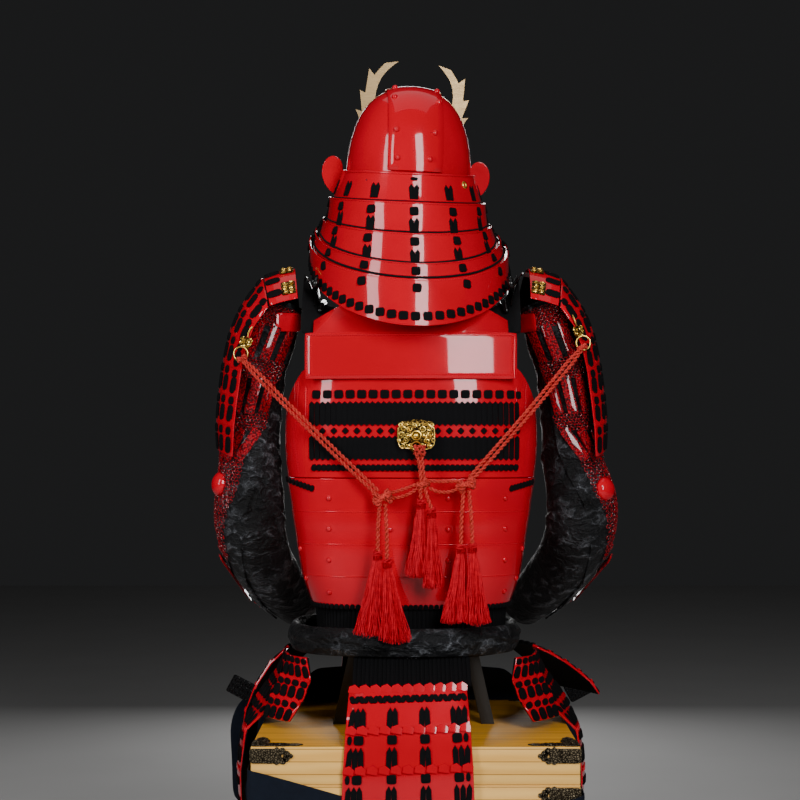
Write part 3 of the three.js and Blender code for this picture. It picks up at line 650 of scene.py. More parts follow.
for side in ("left", "right"):
    toward = (KNOT[side] - RING[side]).normalized()
    start = RING[side] + at(0, -3, -7)
    across = toward.cross(Vector((0, 1, 0))).normalized() * 0.0034
    line = sagging(start, KNOT[side] - toward * 0.011, 0.003, 8)
    apart = [0.3, *[1.0] * 7, 0.8]
    for k in (0, 1):
        lay_rope(f"shoulder_cord_{side}_{k + 1}",
                 [spot + across * (1 - 2 * k) * a for spot, a in zip(line, apart)], 0.0068,
                 [f"shoulder_cord_{side}"], 0.016, [knots[side]] if k else ())
    wound_knot(f"ring_knot_{side}", start + toward * 0.003, at(6.5, 4.5, 5.5), 0.0056, 4,
               [f"shoulder_cord_{side}"], 13)

for side in ("left", "right"):
    toward = (KNOT["centre"] - KNOT[side]).normalized()
    for k, spread in enumerate((0.0034, -0.0034) if side == "left" else (0.0052, -0.0052)):
        rise = Vector((0, 0, spread))
        start = KNOT[side] + toward * 0.010 + rise
        end = KNOT["centre"] - toward * 0.009 + rise
        lay_rope(f"loop_{side}_{k + 1}", sagging(start, end, 0.001 - 1.1 * spread * k, 5),
                 0.0063, [f"loop_{side}"], 0.013)

for k, (x, y, z) in enumerate(HEADS["centre"]):
    shift = at((-3.4, 3.4)[k], 0, 0)
    run = [BALL + shift + at(0, 0, -8), BALL.lerp(KNOT["centre"], 0.5) + shift * 0.7,
           KNOT["centre"] + shift * 0.8, KNOT["centre"] + shift * 1.1 + at(0, -1.5, -10),
           at(x, y - 0.5, z + 3)]
    lay_rope(f"drop_cord_{k + 1}", run, 0.0068, ["drop_cord", "tassels_centre"], 0.015,
             [*tassels["centre"], knots["centre"]] if k else ())

for side in ("left", "right"):
    for k, (x, y, z) in enumerate(HEADS[side]):
        start = KNOT[side] + at((-4, 4)[k], -1, -9)
        end = at(x, y, z + 3)
        middle = start.lerp(end, 0.5) + at((-1, 1)[k], -1, 0)
        lay_rope(f"tassel_cord_{side}_{k + 1}", [start, middle, end], 0.0074,
                 [f"tassels_{side}"], 0.015, tassels[side] if k else ())
# %% [markdown]
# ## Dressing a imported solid
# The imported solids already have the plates' true outlines, in flat facets. A dressed plate is a
# copy of its solid: doubles merged, triangles joined into quads, hard edges creased, and then
# subdivided, so that the lacquer runs smoothly and the edges keep a fine rounded arris.

# %% Copy, crease and subdivide
def copy_of(node):
    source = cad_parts[node]
    piece = source.copy()
    piece.data = source.data.copy()
    bpy.context.collection.objects.link(piece)
    piece.parent = None
    edit_all(piece)
    bpy.ops.mesh.remove_doubles(threshold=0.00001)
    bpy.ops.mesh.tris_convert_to_quads(face_threshold=radians(50),
                                       shape_threshold=radians(60))
    leave_edit()
    return piece


def crease_edges(piece, sharp, amount):
    shape = bmesh.new()
    shape.from_mesh(piece.data)
    numbers = shape.edges.layers.float
    layer = numbers.get("crease_edge") or numbers.new("crease_edge")
    for edge in shape.edges:
        if len(edge.link_faces) == 2 and edge.calc_face_angle() > radians(sharp):
            edge[layer] = amount
    shape.to_mesh(piece.data)
    shape.free()


def dress(node, finish, levels=1, sharp=50, amount=0.85, name=None):
    piece = copy_of(node)
    crease_edges(piece, sharp, amount)
    if levels:
        subdivide(piece, levels)
    return finish_piece(piece, name or f"{node}_dressed", finish, [node], 42)


# %% [markdown]
# ## Lacquered plates
# The helmet, the neck guard, the cuirass, the guards and the skirts all take the same scarlet.

# %% Dress the plates
SIDES = (("left", -1), ("right", 1))
plates = {}
for node in ("helmet_bowl", "helmet_back_band", "helmet_visor", "turnback_left", "turnback_right",
             *(f"neck_guard_lame_{k}" for k in range(1, 6)), "back_plate", "front_plate",
             "back_lames", "front_lames", "back_yoke"):
    plates[node] = dress(node, RED_LACQUER, 2 if node == "helmet_bowl" else 1)
plates["back_board"] = dress("back_board", RED_LACQUER, 2, amount=0.95)
for side, _ in SIDES:
    for stem in ("guard_crown", "guard_lames", "skirt_rear", "skirt_side", "skirt_front_side",
                 "skirt_front"):
        node = f"{stem}_{side}"
        plates[node] = dress(node, RED_LACQUER)
turn = Matrix.Translation(at(-4, -6, 0)) @ Matrix.Rotation(radians(2.6), 4, "Z")
plates["helmet_back_band"].data.transform(turn @ Matrix.Translation(at(4, 6, 0)))
plates["skirt_back"] = dress("skirt_back", RED_LACQUER)


def line_inside(piece):
    """The inner side of a hanging section is lined with black cloth."""
    piece.data.materials.append(BLACK_CLOTH)
    for face in piece.data.polygons:
        outward = Vector((face.center.x, face.center.y, 0)).normalized()
        face.material_index = 1 if face.normal.dot(outward) < -0.25 else 0


for node, piece in plates.items():
    if node.startswith(("skirt", "guard")):
        line_inside(piece)
plates["helmet_crest"] = dress("helmet_crest", PALE_GOLD, 1, 30, 1.0)
foot = at(89, 100, 1461)
for vertex in plates["helmet_crest"].data.vertices:
    rise = clamp((vertex.co.z - 1.44) / 0.03)
    if vertex.co.x > 0:
        turned = Matrix.Rotation(radians(7.2), 3, "Y") @ (vertex.co - foot) * 0.9 + foot
        vertex.co = vertex.co.lerp(turned, rise)
    else:
        vertex.co.x += (-0.030 - vertex.co.x) * 0.09 * rise
print(len(plates), "plates dressed,", sum(len(p.data.polygons) for p in plates.values()), "faces")
# %% [markdown]
# ## Where a lace sits
# Armour is laced through rows of holes, so every lace has a place on a panel: how far down it, and
# how far across. `Seat` finds that place on the dressed plate, with the plate's own slope, and
# `lay_copies` puts one prototype on all of its seats and joins them into one piece.

# %% Seats on a surface
LOOK, UP = Vector((0, 1, 0)), Vector((0, 0, 1))


def tree_of(piece):
    mesh = piece.data
    return BVHTree.FromPolygons([v.co for v in mesh.vertices], [p.vertices for p in mesh.polygons])


def plate_tree(node):
    return tree_of(plates[node])


def placed(spot, outward, up, tilt=0.0, lift=0.0, size=(1, 1, 1)):
    outward = outward.normalized()
    up = (up - outward * up.dot(outward)).normalized()
    turn = Matrix((up.cross(outward), up, outward)).transposed()
    turn = turn @ Matrix.Rotation(radians(tilt), 3, "Z") @ Matrix.Diagonal(size)
    return Matrix.Translation(spot + outward * lift * MM) @ turn.to_4x4()


def seat(tree, panel, s, t, tilt=0.0, lift=0.0, size=(1, 1, 1), step=0.01):
    spot = panel(s, t)
    up = panel(s - 0.01, t) - panel(s + 0.01, t)
    outward = up.cross(panel(s, t + step) - panel(s, t - step)).normalized()
    if outward.x * spot.x + outward.y * spot.y < 0:
        outward = -outward
    hit = tree.find_nearest(spot + outward * 0.006)[0]
    return placed(hit, outward, up, tilt, lift, size)


def ray_seat(tree, start, aim, tilt=0.0, lift=0.0, size=(1, 1, 1)):
    hit, outward, _, _ = tree.ray_cast(start, aim)
    if outward.dot(aim) > 0:
        outward = -outward
    return placed(hit, outward, UP, tilt, lift, size)


def lay_copies(name, prototype, seats, finish=BLACK_BRAID, angle=40):
    parts = []
    for place in seats:
        part = prototype.copy()
        part.data = prototype.data.copy()
        part.matrix_world = place
        bpy.context.collection.objects.link(part)
        parts.append(part)
    bpy.context.view_layer.update()
    piece = finish_piece(joined(parts, name), name, finish, [], angle)
    print(f"{name}: {len(seats)} pieces, {len(piece.data.polygons)} faces")


# %% [markdown]
# ## Prototypes of the lacing
# A lace crosses a plate as a small soft pad where two holes are close, and as a pointed tongue
# where it runs down under the next plate. Each shape starts as a block, gets rounded corners, and
# its face is inset and raised, so that it looks stuffed.

# %% Pads, tongues, strips and rivets
def select_where(piece, kind, test):
    """Selects edges, faces or vertices by place, and goes into edit mode."""
    edit_all(piece)
    bpy.ops.mesh.select_mode(type=kind)
    bpy.ops.mesh.select_all(action="DESELECT")
    leave_edit()
    mesh = piece.data
    if kind == "FACE":
        for face in mesh.polygons:
            face.select = test(face.center, face.normal)
    elif kind == "EDGE":
        for edge in mesh.edges:
            a, b = (mesh.vertices[i].co for i in edge.vertices)
            edge.select = test((a + b) / 2, (b - a).normalized())
    else:
        for vertex in mesh.vertices:
            vertex.select = test(vertex.co, None)
    bpy.ops.object.mode_set(mode="EDIT")


def block(name, width, height, thick):
    piece = added("cube", size=1)
    piece.name, piece.scale = name, Vector((width, height, thick)) * MM
    settle(piece)
    return piece


def pad(name, width, height, thick=2.4, corner=3.0, segments=2, swell=0.7):
    piece = block(name, width, height, thick)
    select_where(piece, "EDGE", lambda _, along: abs(along.z) > 0.9)
    bpy.ops.mesh.bevel(offset=corner * MM, segments=segments, affect="EDGES")
    leave_edit()
    select_where(piece, "FACE", lambda _, facing: facing.z > 0.9)
    bpy.ops.mesh.inset(thickness=min(width, height) * 0.16 * MM, depth=swell * MM)
    leave_edit()
    return piece


def pointed(name, width, height, thick, point, dome=1.0, both=True):
    """A strip domed along its middle, with one end or both drawn to a point."""
    piece = block(name, width, height, thick)
    edit_all(piece)
    bpy.ops.mesh.subdivide(number_cuts=1)
    leave_edit()
    select_where(piece, "VERT", lambda spot, _: abs(spot.x) < 1e-5 and spot.z > 1e-5)
    bpy.ops.transform.translate(value=(0, 0, dome * MM))
    leave_edit()
    for way in (1, -1) if both else (1,):
        select_where(piece, "VERT",
                     lambda spot, _: abs(spot.x) < 1e-5 and spot.y * way > height * 0.49 * MM)
        bpy.ops.transform.translate(value=(0, way * point * MM, -0.3 * dome * MM))
        leave_edit()
    return piece


def rivet(name, radius, height):
    piece = added("uv_sphere", segments=14, ring_count=8, radius=radius * MM)
    piece.name, piece.scale = name, (1, 1, height / radius)
    settle(piece)
    return piece


square_pad = pad("square_pad", 13.6, 13.4)
round_pad = pad("round_pad", 11.5, 11.5, corner=4.6)
long_pad = pad("long_pad", 13, 23, corner=5.4)
tongue = pointed("tongue", 7.6, 19, 2.0, 5.5, both=False)
strip = pointed("strip", 8.5, 31, 1.6, 3.4)
twist = pad("twist", 8.4, 10.5, 3.0, 3.4, swell=1.0)
diamond = pad("diamond", 9.2, 9.2, 2.2, 1.2, 1, 1.2)
red_rivet = rivet("red_rivet", 4.6, 3.6)
scale_head = pointed("scale_head", 15.6, 7, 1.6, 3.6, 0.5, both=False)
prototypes = [square_pad, round_pad, long_pad, tongue, strip, twist, diamond, red_rivet, scale_head]
print("prototypes:", ", ".join(p.name for p in prototypes))

# %% [markdown]
# ## Lacing of the neck guard
# The five lames of the neck guard are sparsely laced in pairs, in columns that spread out like the
# ribs of a fan. The bottom lame has a full row of crossings along its rim.

# %% Neck guard lacing
HELMET_TURN = Matrix.LocRotScale(at(-4, -6, 1352),
                                 Matrix.Rotation(radians(2.5), 3, "Z")
                                 @ Matrix.Rotation(radians(2), 3, "Y")
                                 @ Matrix.Rotation(radians(8.8), 3, "X"), None)
# Half width, half depth, height at the side, height at the back and drift of each rim.
NECK_RIMS = [(104.5, 122, 3, 3, 0), (120, 141, -40, -42, 0), (130, 163, -75, -88, 1),
             (143, 185, -96, -132, 3), (154, 197, -112, -157, 5), (162, 229, -149, -223, 8)]


def neck_panel(number):
    def rim(which, turn):
        a, b, side, back, drift = NECK_RIMS[which]
        return at(drift + a * sin(turn), -b * cos(turn),
                  side + (back - side) * cos(turn))

    def panel(s, degrees):
        turn = radians(degrees)
        return HELMET_TURN @ rim(number - 1, turn).lerp(rim(number, turn), s)
    return panel


def stand_proud(number, rise):
    """Moves the upper part of a lame outwards, so that its top edge laps over the lame above."""
    home, turned = HELMET_TURN.inverted(), HELMET_TURN.to_3x3()
    a, b, _, _, drift = NECK_RIMS[number]
    for vertex in plates[f"neck_guard_lame_{number}"].data.vertices:
        spot = home @ vertex.co
        turn = math.atan2((spot.x / MM - drift) / a, -spot.y / MM / b)
        top, low = (side + (back - side) * cos(turn)
                    for _, _, side, back, _ in (NECK_RIMS[number - 1], NECK_RIMS[number]))
        share = clamp((spot.z / MM - low) / (top - low))
        vertex.co += turned @ Vector((sin(turn), -cos(turn), 0)) * rise * share ** 1.6 * MM


for number, rise in ((1, 2.0), (2, 2.6), (3, 2.8), (4, 3.8), (5, 4.4)):
    stand_proud(number, rise)

COLUMNS = (-118, -88, -58, -29, 2, 31, 60, 90, 118)
# How far down each lame its crossings and its tongues lie.
PAD_DOWN, TONGUE_DOWN = {2: 0.3, 3: 0.3, 4: 0.5, 5: 0.19}, {1: 0.68, 2: 0.8, 3: 0.85}
lace_seats = {"pads": [], "tongues": [], "small": [], "eyelet": []}
for number in range(1, 6):
    tree, panel = plate_tree(f"neck_guard_lame_{number}"), neck_panel(number)
    for degrees in COLUMNS:
        drift = 1.5 * sin(3 * degrees + number)
        if number in PAD_DOWN:
            lace_seats["pads"].append(seat(tree, panel, PAD_DOWN[number], degrees, drift * 2, 0.4,
                                           step=0.5))
        for k in (-1, 1) if number in TONGUE_DOWN else ():
            lace_seats["tongues"].append(
                seat(tree, panel, TONGUE_DOWN[number], degrees + k * (1.75 - 0.16 * number),
                     -k * 5 + drift, 0.3, step=0.5))
top_lame, panel = plate_tree("neck_guard_lame_1"), neck_panel(1)
lace_seats["small"].append(seat(top_lame, panel, 0.2, 2, 0, 0.3, (1.0, 0.45, 1), 0.5))
lace_seats["eyelet"].append(seat(top_lame, panel, 0.34, 50, 0, 0, step=0.5))
lace_seats["hole"] = [seat(top_lame, panel, 0.3, -39, 0, 0, step=0.5)]

RIM, RIM_END, RIM_PITCH = 0.79, 117, 18.4 * MM
tree, panel = plate_tree("neck_guard_lame_5"), neck_panel(5)
degrees = 1.0
while degrees < RIM_END:
    for way in (-1, 1) if degrees > 1.5 else (1,):
        lace_seats["pads"].append(seat(tree, panel, RIM, 1 + way * (degrees - 1), way * 2, 0.4,
                                       (1.02, 1.0, 1), 0.5))
    one_degree = (panel(RIM, degrees + 0.5) - panel(RIM, degrees - 0.5)).length
    degrees += math.degrees(RIM_PITCH / one_degree * radians(1))

lay_copies("neck_lacing", square_pad, lace_seats["pads"])
lay_copies("neck_tongues", tongue, lace_seats["tongues"])
lay_copies("neck_crossing", round_pad, lace_seats["small"])
# %% [markdown]
# ## Lacing of the back plate
# Two broad bands of close-set vertical laces cross the back plate. Between them runs a strip with
# diamond crossings, above them a row of square crossings, and below them one twisted lace.

# %% Back plate lacing
back_tree = plate_tree("back_plate")


def on_back(x, z, tilt=0.0, lift=0.0, size=(1, 1, 1), tree=back_tree):
    return ray_seat(tree, at(x, -400, z), LOOK, tilt, lift, size)


def spread(first, last, count):
    return [first + (last - first) * k / (count - 1) for k in range(count)]


squares = [on_back(x, 996.8, 2 * sin(x), 0.5, (1, 0.97, 1)) for x in spread(-146, 152, 18)]
squares.append(on_back(164.5, 996.3, 0, 0.4, (0.7, 0.85, 1)))
ends = [on_back(x, z, 0, 0.6) for z in (967, 914.6) for x in spread(-153, 162, 38)]
gems = [on_back(x, 940.8, 45, 0.4, (0.88, 0.88, 1)) for x in spread(-153.5, 163, 19)]
turns = [on_back(x, 884.7, -24, 0.8) for x in spread(-149, 160, 42)]
lay_copies("back_squares", square_pad, squares)
lay_copies("back_bands", strip, ends)
lay_copies("back_twist", twist, turns)
lay_copies("back_diamonds", diamond, gems, angle=20)

# %% [markdown]
# ## Rivets, side laces and the laced hem
# The back lames are riveted in four columns and at the sides. A black lace ties each side, and the
# hem is wrapped with a close row of slanting stitches.

# %% Rivets and hem
lame_tree = plate_tree("back_lames")
front_tree = plate_tree("front_lames")
rivets = [on_back(x, z, tree=lame_tree) for x in (-126.5, -32.5, 56, 144)
          for z in (838, 791, 743, 693)]
rivets += [ray_seat(lame_tree, at(way * 400, -64, z), Vector((-way, 0, 0)))
           for _, way in SIDES for z in (758, 712)]
front_rivets = [ray_seat(front_tree, at(x, 400, z), -LOOK)
                for x in (-128, -42, 42, 128) for z in (838, 791, 745, 697)]
lay_copies("back_rivets", red_rivet, rivets, RED_LACQUER, 80)
lay_copies("front_rivets", red_rivet, front_rivets, RED_LACQUER, 80)


def round_body(tree, z, first, last, pitch, tilt, lift, size=(1, 1, 1)):
    """Seats round the cuirass at one height, a pitch apart, from one angle to another."""
    seats, angle = [], first
    while angle < last:
        out = Vector((sin(radians(angle)), -cos(radians(angle)), 0))
        hit = tree.ray_cast(at(-5, 0, z) + out * 0.4, -out)
        if hit[0] is None:
            angle += 1
            continue
        outward = hit[1] if hit[1].dot(out) > 0 else -hit[1]
        seats.append(placed(hit[0], outward, UP, tilt, lift, size))
        radius = (hit[0].xy - Vector((-0.005, 0))).length
        angle += math.degrees(pitch * MM / radius) / max(0.5, abs(outward.dot(out)))
    return seats


hem = []
for tree, first, last in ((lame_tree, -84, 84), (front_tree, 96, 264)):
    hem += round_body(tree, 671, first, last, 7.4, -12, 0.3, (0.86, 0.8, 1))
lay_copies("hem_lacing", twist, hem)
side_laces = []
for (x0, z0), (x1, z1) in (((-196, 866), (-154, 853)), ((155, 853), (190, 862))):
    for k in range(8):
        start = at((x0 + (x1 - x0) * k / 7) * 0.99, -400, z0 + (z1 - z0) * k / 7)
        if lame_tree.ray_cast(start, LOOK)[0]:
            side_laces.append(ray_seat(lame_tree, start, LOOK, -20, 0.8, (0.85, 0.95, 1)))
lay_copies("side_laces", twist, side_laces)
# %% [markdown]
# ## Lacing of the shoulder guards and skirts
# Guards and skirts hang in rows of small plates. Each row shows a line of round crossings, a line
# of long vertical laces that carry the next row, and scalloped heads along its upper edge.

# %% Smooth tables and panels
def read_table(rows, which, where):
    """Reads a table as a smooth curve through its rows; the first entry of a row is its place."""
    last = len(rows) - 1
    where = clamp(where, rows[0][0], rows[last][0])
    i = 0
    while i < last - 1 and where > rows[i + 1][0]:
        i += 1
    low, high = rows[i], rows[i + 1]
    span = high[0] - low[0]

    def slope(j):
        a, b = rows[max(j - 1, 0)], rows[min(j + 1, last)]
        return (b[which] - a[which]) / (b[0] - a[0]) * span
    t = (where - low[0]) / span
    return ((2 * t ** 3 - 3 * t ** 2 + 1) * low[which] + (t ** 3 - 2 * t ** 2 + t) * slope(i)
            + (3 * t ** 2 - 2 * t ** 3) * high[which] + (t ** 3 - t ** 2) * slope(i + 1))


# Distance down the guard, then out, up, how far its edges fall back, and how far they drop.
GUARD = [(0, 186, 1204, 6, 56), (28, 212, 1199, 8, 56), (54, 236, 1190, 12, 54),
         (88, 258, 1163, 17, 47), (126, 279, 1130, 25, 37), (162, 291, 1097, 29, 31),
         (216, 302, 1043, 32, 19), (270, 308.5, 989, 33, 9), (310, 311, 950, 31, 9),
         (350, 309.5, 911, 28, 11)]
GUARD_TURN = {"left": 4, "right": -5}


def guard_panel(side, way):
    def panel(s, v):
        out = read_table(GUARD, 1, s) - read_table(GUARD, 3, s) * v * v + GUARD_TURN[side] * v
        return at(way * out, 88 * v, read_table(GUARD, 2, s) - read_table(GUARD, 4, s) * v * v)
    return panel


guard_seats = {"long": [], "round": [], "heads": [], "crown": []}
LAMES_FROM, LAMES_TO, LAME_ROWS = 56.5, 350, 6
lame = (LAMES_TO - LAMES_FROM) / LAME_ROWS
for side, way in SIDES:
    panel = guard_panel(side, way)
    tree = plate_tree(f"guard_lames_{side}")
    for row in range(LAME_ROWS):
        top = LAMES_FROM + row * lame
        for column in range(7):
            v = -0.86 + column * 1.72 / 6
            guard_seats["long"].append(seat(tree, panel, top + lame * 0.66, v, 2 * column - 6, 0.4,
                                            (1.28, 1.12, 1.1)))
            guard_seats["round"].append(seat(tree, panel, top + lame * 0.22, v, 0, 0.4,
                                             (1.3, 1.1, 1.1)))
        if row:
            for v in spread(-0.91, 0.91, 11):
                guard_seats["heads"].append(seat(tree, panel, top - 1.5, v, 0, -0.2, (0.98, 1, 1)))
    tree = plate_tree(f"guard_crown_{side}")
    for v in (-0.84, -0.56, -0.28, 0, 0.28, 0.56, 0.84):
        guard_seats["crown"].append(seat(tree, panel, 41, v, 0, 0.4, (1.15, 1.05, 1)))
lay_copies("guard_laces", long_pad, guard_seats["long"] + guard_seats["crown"])
lay_copies("guard_crossings", round_pad, guard_seats["round"])
lay_copies("guard_heads", scale_head, guard_seats["heads"], RED_LACQUER)

# %% [markdown]
# ## The skirts
# Each skirt panel is described by its two edges, from the waist down. The panel between them is
# read the same way as the guards, so one loop can lace all nine.

# %% Skirt panels
SKIRTS = {
    "rear": (3, [(160, -92, 592), (155, -92, 556), (168, -95, 524), (188, -98, 494)],
             [(190, -50, 592), (203, -46, 560), (219, -44, 528), (232, -43, 496)]),
    "side": (5, [(192, -36, 592), (199, -36, 545), (222, -36, 508), (259, -36, 474),
                 (268, -36, 410), (266, -36, 335)],
             [(196, 44, 592), (218, 50, 555), (248, 52, 516), (268, 52, 470), (275, 52, 408),
              (269, 52, 335)]),
    "front_side": (5, [(198, 54, 595), (226, 57, 583), (252, 60, 568), (274, 62, 552),
                       (294, 64, 535), (309, 66, 514)],
                   [(150, 130, 595), (168, 146, 583), (186, 160, 568), (204, 174, 552),
                    (221, 187, 535), (236, 198, 514)]),
    "front": (5, [(10, 150, 592), (10, 194, 556), (10, 240, 514), (10, 260, 462), (10, 264, 400),
                  (10, 264, 335)],
              [(112, 137, 592), (116, 182, 556), (122, 234, 514), (128, 258, 462), (130, 264, 400),
               (132, 264, 335)]),
}
LEFT_FRONT_SIDE = (5, [(198, 54, 594), (228, 58, 566), (252, 60, 530), (269, 62, 488),
                       (276, 64, 430), (272, 66, 360)],
                   [(150, 130, 594), (178, 150, 570), (208, 168, 540), (238, 184, 505),
                    (262, 194, 450), (268, 198, 365)])


def along_edge(points, s):
    last = len(points) - 1
    span = clamp(s, 0, 0.9999) * last
    near = [Vector(points[clamp(int(span) + j, 0, last)]) for j in (-1, 0, 1, 2)]
    return catmull_rom(*near, span - int(span))


def skirt_panel(near, far, way):
    def panel(s, t):
        spot = along_edge(near, s).lerp(along_edge(far, s), t)
        return at(way * spot.x, spot.y, spot.z)
    return panel


# Metres between laces, and the drop of a row at which its laces are full length.
LACE_PITCH, FULL_DROP = 0.0165, 0.046
skirt_seats = {"long": [], "round": [], "heads": []}
for side, way in SIDES:
    for place, (lames, near, far) in SKIRTS.items():
        if (side, place) == ("left", "front_side"):
            lames, near, far = LEFT_FRONT_SIDE
        panel = skirt_panel(near, far, way)
        tree = plate_tree(f"skirt_{place}_{side}")
        for row in range(lames):
            drop = (panel((row + 0.9) / lames, 0.5) - panel((row + 0.1) / lames, 0.5)).length / 0.8
            across = (panel((row + 0.5) / lames, 1) - panel((row + 0.5) / lames, 0)).length
            count = max(3, round(across / LACE_PITCH))
            slim = across / count / LACE_PITCH * 0.92
            stout = min(1.0, drop / FULL_DROP)
            for k in range(count):
                t = (k + 0.5) / count
                skirt_seats["long"].append(seat(tree, panel, (row + 0.68) / lames, t, -14 * way,
                                                0.4, (slim * 1.1, stout * 1.06, 1)))
                skirt_seats["round"].append(seat(tree, panel, (row + 0.24) / lames, t, 0, 0.4,
                                                 (slim * 1.22, stout * 1.1, 1)))
                if row:
                    skirt_seats["heads"].append(seat(tree, panel, (row + 0.01) / lames, t, 0, -0.2,
                                                     (slim * 1.05, stout * 0.8, 1)))
lay_copies("skirt_laces", long_pad, skirt_seats["long"])
lay_copies("skirt_crossings", round_pad, skirt_seats["round"])
lay_copies("skirt_heads", scale_head, skirt_seats["heads"], RED_LACQUER)

# %% [markdown]
# ## The back skirt
# The middle section hangs in front of the chest. It is laced sparsely: a stitched line along its
# top, then pairs of long tongues under square crossings, with three tongues near each edge.

# %% Back skirt lacing
BACK_SKIRT = [(0, 561, -217, 87), (0.189, 508, -247, 91), (0.399, 449, -252, 95),
              (0.601, 392, -252, 97), (0.804, 335, -252, 98), (1, 280, -252, 99)]


def back_skirt(s, t):
    w = 2 * t - 1
    x = w * read_table(BACK_SKIRT, 3, s) - 6
    return at(x, read_table(BACK_SKIRT, 2, s) + 3 * w * w, 561 - 281 * s + 0.03 * x)


tree = plate_tree("skirt_back")
tongues, crossings, heads, slim_crossings = [], [], [], []
PAIRS = ((0.045, -5), (0.092, 0), (0.137, 3), (0.352, -2), (0.397, 2), (0.612, -2), (0.657, 2),
         (0.868, 1), (0.914, 0), (0.958, -4))
for row in range(5):
    for t, tilt in PAIRS:
        tongues.append(seat(tree, back_skirt, (row + 0.75) / 5, t, tilt, 0.3, (1.04, 1.32, 1.2)))
    for t in spread(0.045, 0.955, 11):
        heads.append(seat(tree, back_skirt, (row + 0.01) / 5, t, -9, 1.6 if row else -0.3,
                          (1.03, 1.25, 1.6 if row else 1.1)))
    if row:
        for t in (0.112, 0.375, 0.634, 0.888):
            crossings.append(seat(tree, back_skirt, (row + 0.23) / 5, t, 2, 0.3, (1.05, 1.0, 1)))
        for t in (0.04, 0.957):
            slim_crossings.append(seat(tree, back_skirt, (row + 0.23) / 5, t, 0, 0.3,
                                       (0.6, 1.1, 1)))
stitches = [seat(tree, back_skirt, 0.052, t, (24, -24)[k % 2], 0.5, (0.86, 1.12, 1))
            for k, t in enumerate(spread(0.04, 0.965, 25))]
lay_copies("back_skirt_tongues", tongue, tongues)
lay_copies("back_skirt_crossings", square_pad, crossings)
lay_copies("back_skirt_edge", round_pad, slim_crossings)
lay_copies("back_skirt_stitches", twist, stitches)
lay_copies("back_skirt_heads", scale_head, heads, RED_LACQUER)
# %% [markdown]
# ## The brocade sleeves
# The sleeves are padded brocade bags, so wide that they fold where the arm bends. The cloth is
# built on its solid's own form, and each main crease is a soft ridge beside a soft trough, running
# between two given points of the sleeve. The wall is two millimetres of cloth.

# %% The sleeve's form
# Place along the sleeve, middle x, y, z, half width, half depth, and share of the arm's spread.
SLEEVE = [(0, 213, 0, 1148, 40, 48, 0), (0.14, 228, -2, 1095, 44, 52, 0),
          (0.29, 243, -5, 1030, 42, 54, 0), (0.44, 250, -8, 960, 43, 55, 0),
          (0.57, 254, -10, 895, 45, 56, 0.1), (0.67, 258, -10, 842, 52, 57, 0.9),
          (0.76, 259, -2, 793, 52, 55, 1), (0.84, 247, 42, 742, 49, 50, 0.8),
          (0.92, 224, 112, 692, 44, 44, 0.4), (1, 193, 188, 650, 38, 38, 0)]
ARM_SPREAD = {"left": -5, "right": 10}


def sleeve_line(u):
    return Vector([read_table(SLEEVE, k, u) for k in (1, 2, 3)])


def arm_middle(side, way, u):
    """The arm's middle, which is spread from the table's line by more or less on each side."""
    line = sleeve_line(u)
    return at(way * (line.x + ARM_SPREAD[side] * read_table(SLEEVE, 6, u)), line.y, line.z)


def sleeve_panel(side, way, out=0.0):
    def panel(u, degrees):
        turn = radians(degrees)
        along = (sleeve_line(min(u + 0.02, 1)) - sleeve_line(max(u - 0.02, 0))).normalized()
        lateral = (Vector((1, 0, 0)) - along * along.x).normalized()
        rear = along.cross(lateral)
        spot = (sleeve_line(u) + lateral * (read_table(SLEEVE, 4, u) + out) * cos(turn)
                + rear * (read_table(SLEEVE, 5, u) + out) * sin(turn))
        return at(way * (spot.x + ARM_SPREAD[side] * read_table(SLEEVE, 6, u)), spot.y, spot.z)
    return panel


# Creases: place and turn of both ends, width and height in millimetres.
CREASES = {
    "right": [(0.60, 118, 0.70, 175, 5, 4.0), (0.655, 112, 0.73, 168, 5, 4.5),
              (0.70, 108, 0.745, 185, 6, 4.5), (0.745, 95, 0.755, 178, 6, 4.0),
              (0.79, 88, 0.765, 165, 6, 3.5), (0.84, 80, 0.79, 150, 6, 3.5),
              (0.50, 135, 0.58, 200, 5, 2.6), (0.41, 150, 0.46, 205, 6, 2.0),
              (0.72, 200, 0.80, 250, 6, 3.5), (0.66, 210, 0.78, 270, 6, 3.0),
              (0.90, 70, 0.83, 140, 6, 2.6), (0.93, 120, 0.90, 210, 6, 2.2),
              (0.30, 170, 0.36, 225, 6, 1.8), (0.55, 215, 0.62, 285, 6, 2.4),
              (0.18, 190, 0.24, 260, 6, 1.8), (0.86, 240, 0.92, 300, 6, 2.2)],
}
CREASES["left"] = [(a + 0.012 * sin(9 * b), b + 6 * sin(5 * a), c - 0.01 * cos(b),
                    d - 7, w * 1.08, h * 0.95) for a, b, c, d, w, h in CREASES["right"]]


# Millimetres of cloth along the whole sleeve, and round it for each degree.
ALONG, ROUND = 620, 0.87
# How far a crease runs on past its ends, and how far its trough lies from it, in its own widths.
RUN_ON, TROUGH = 0.15, 1.7


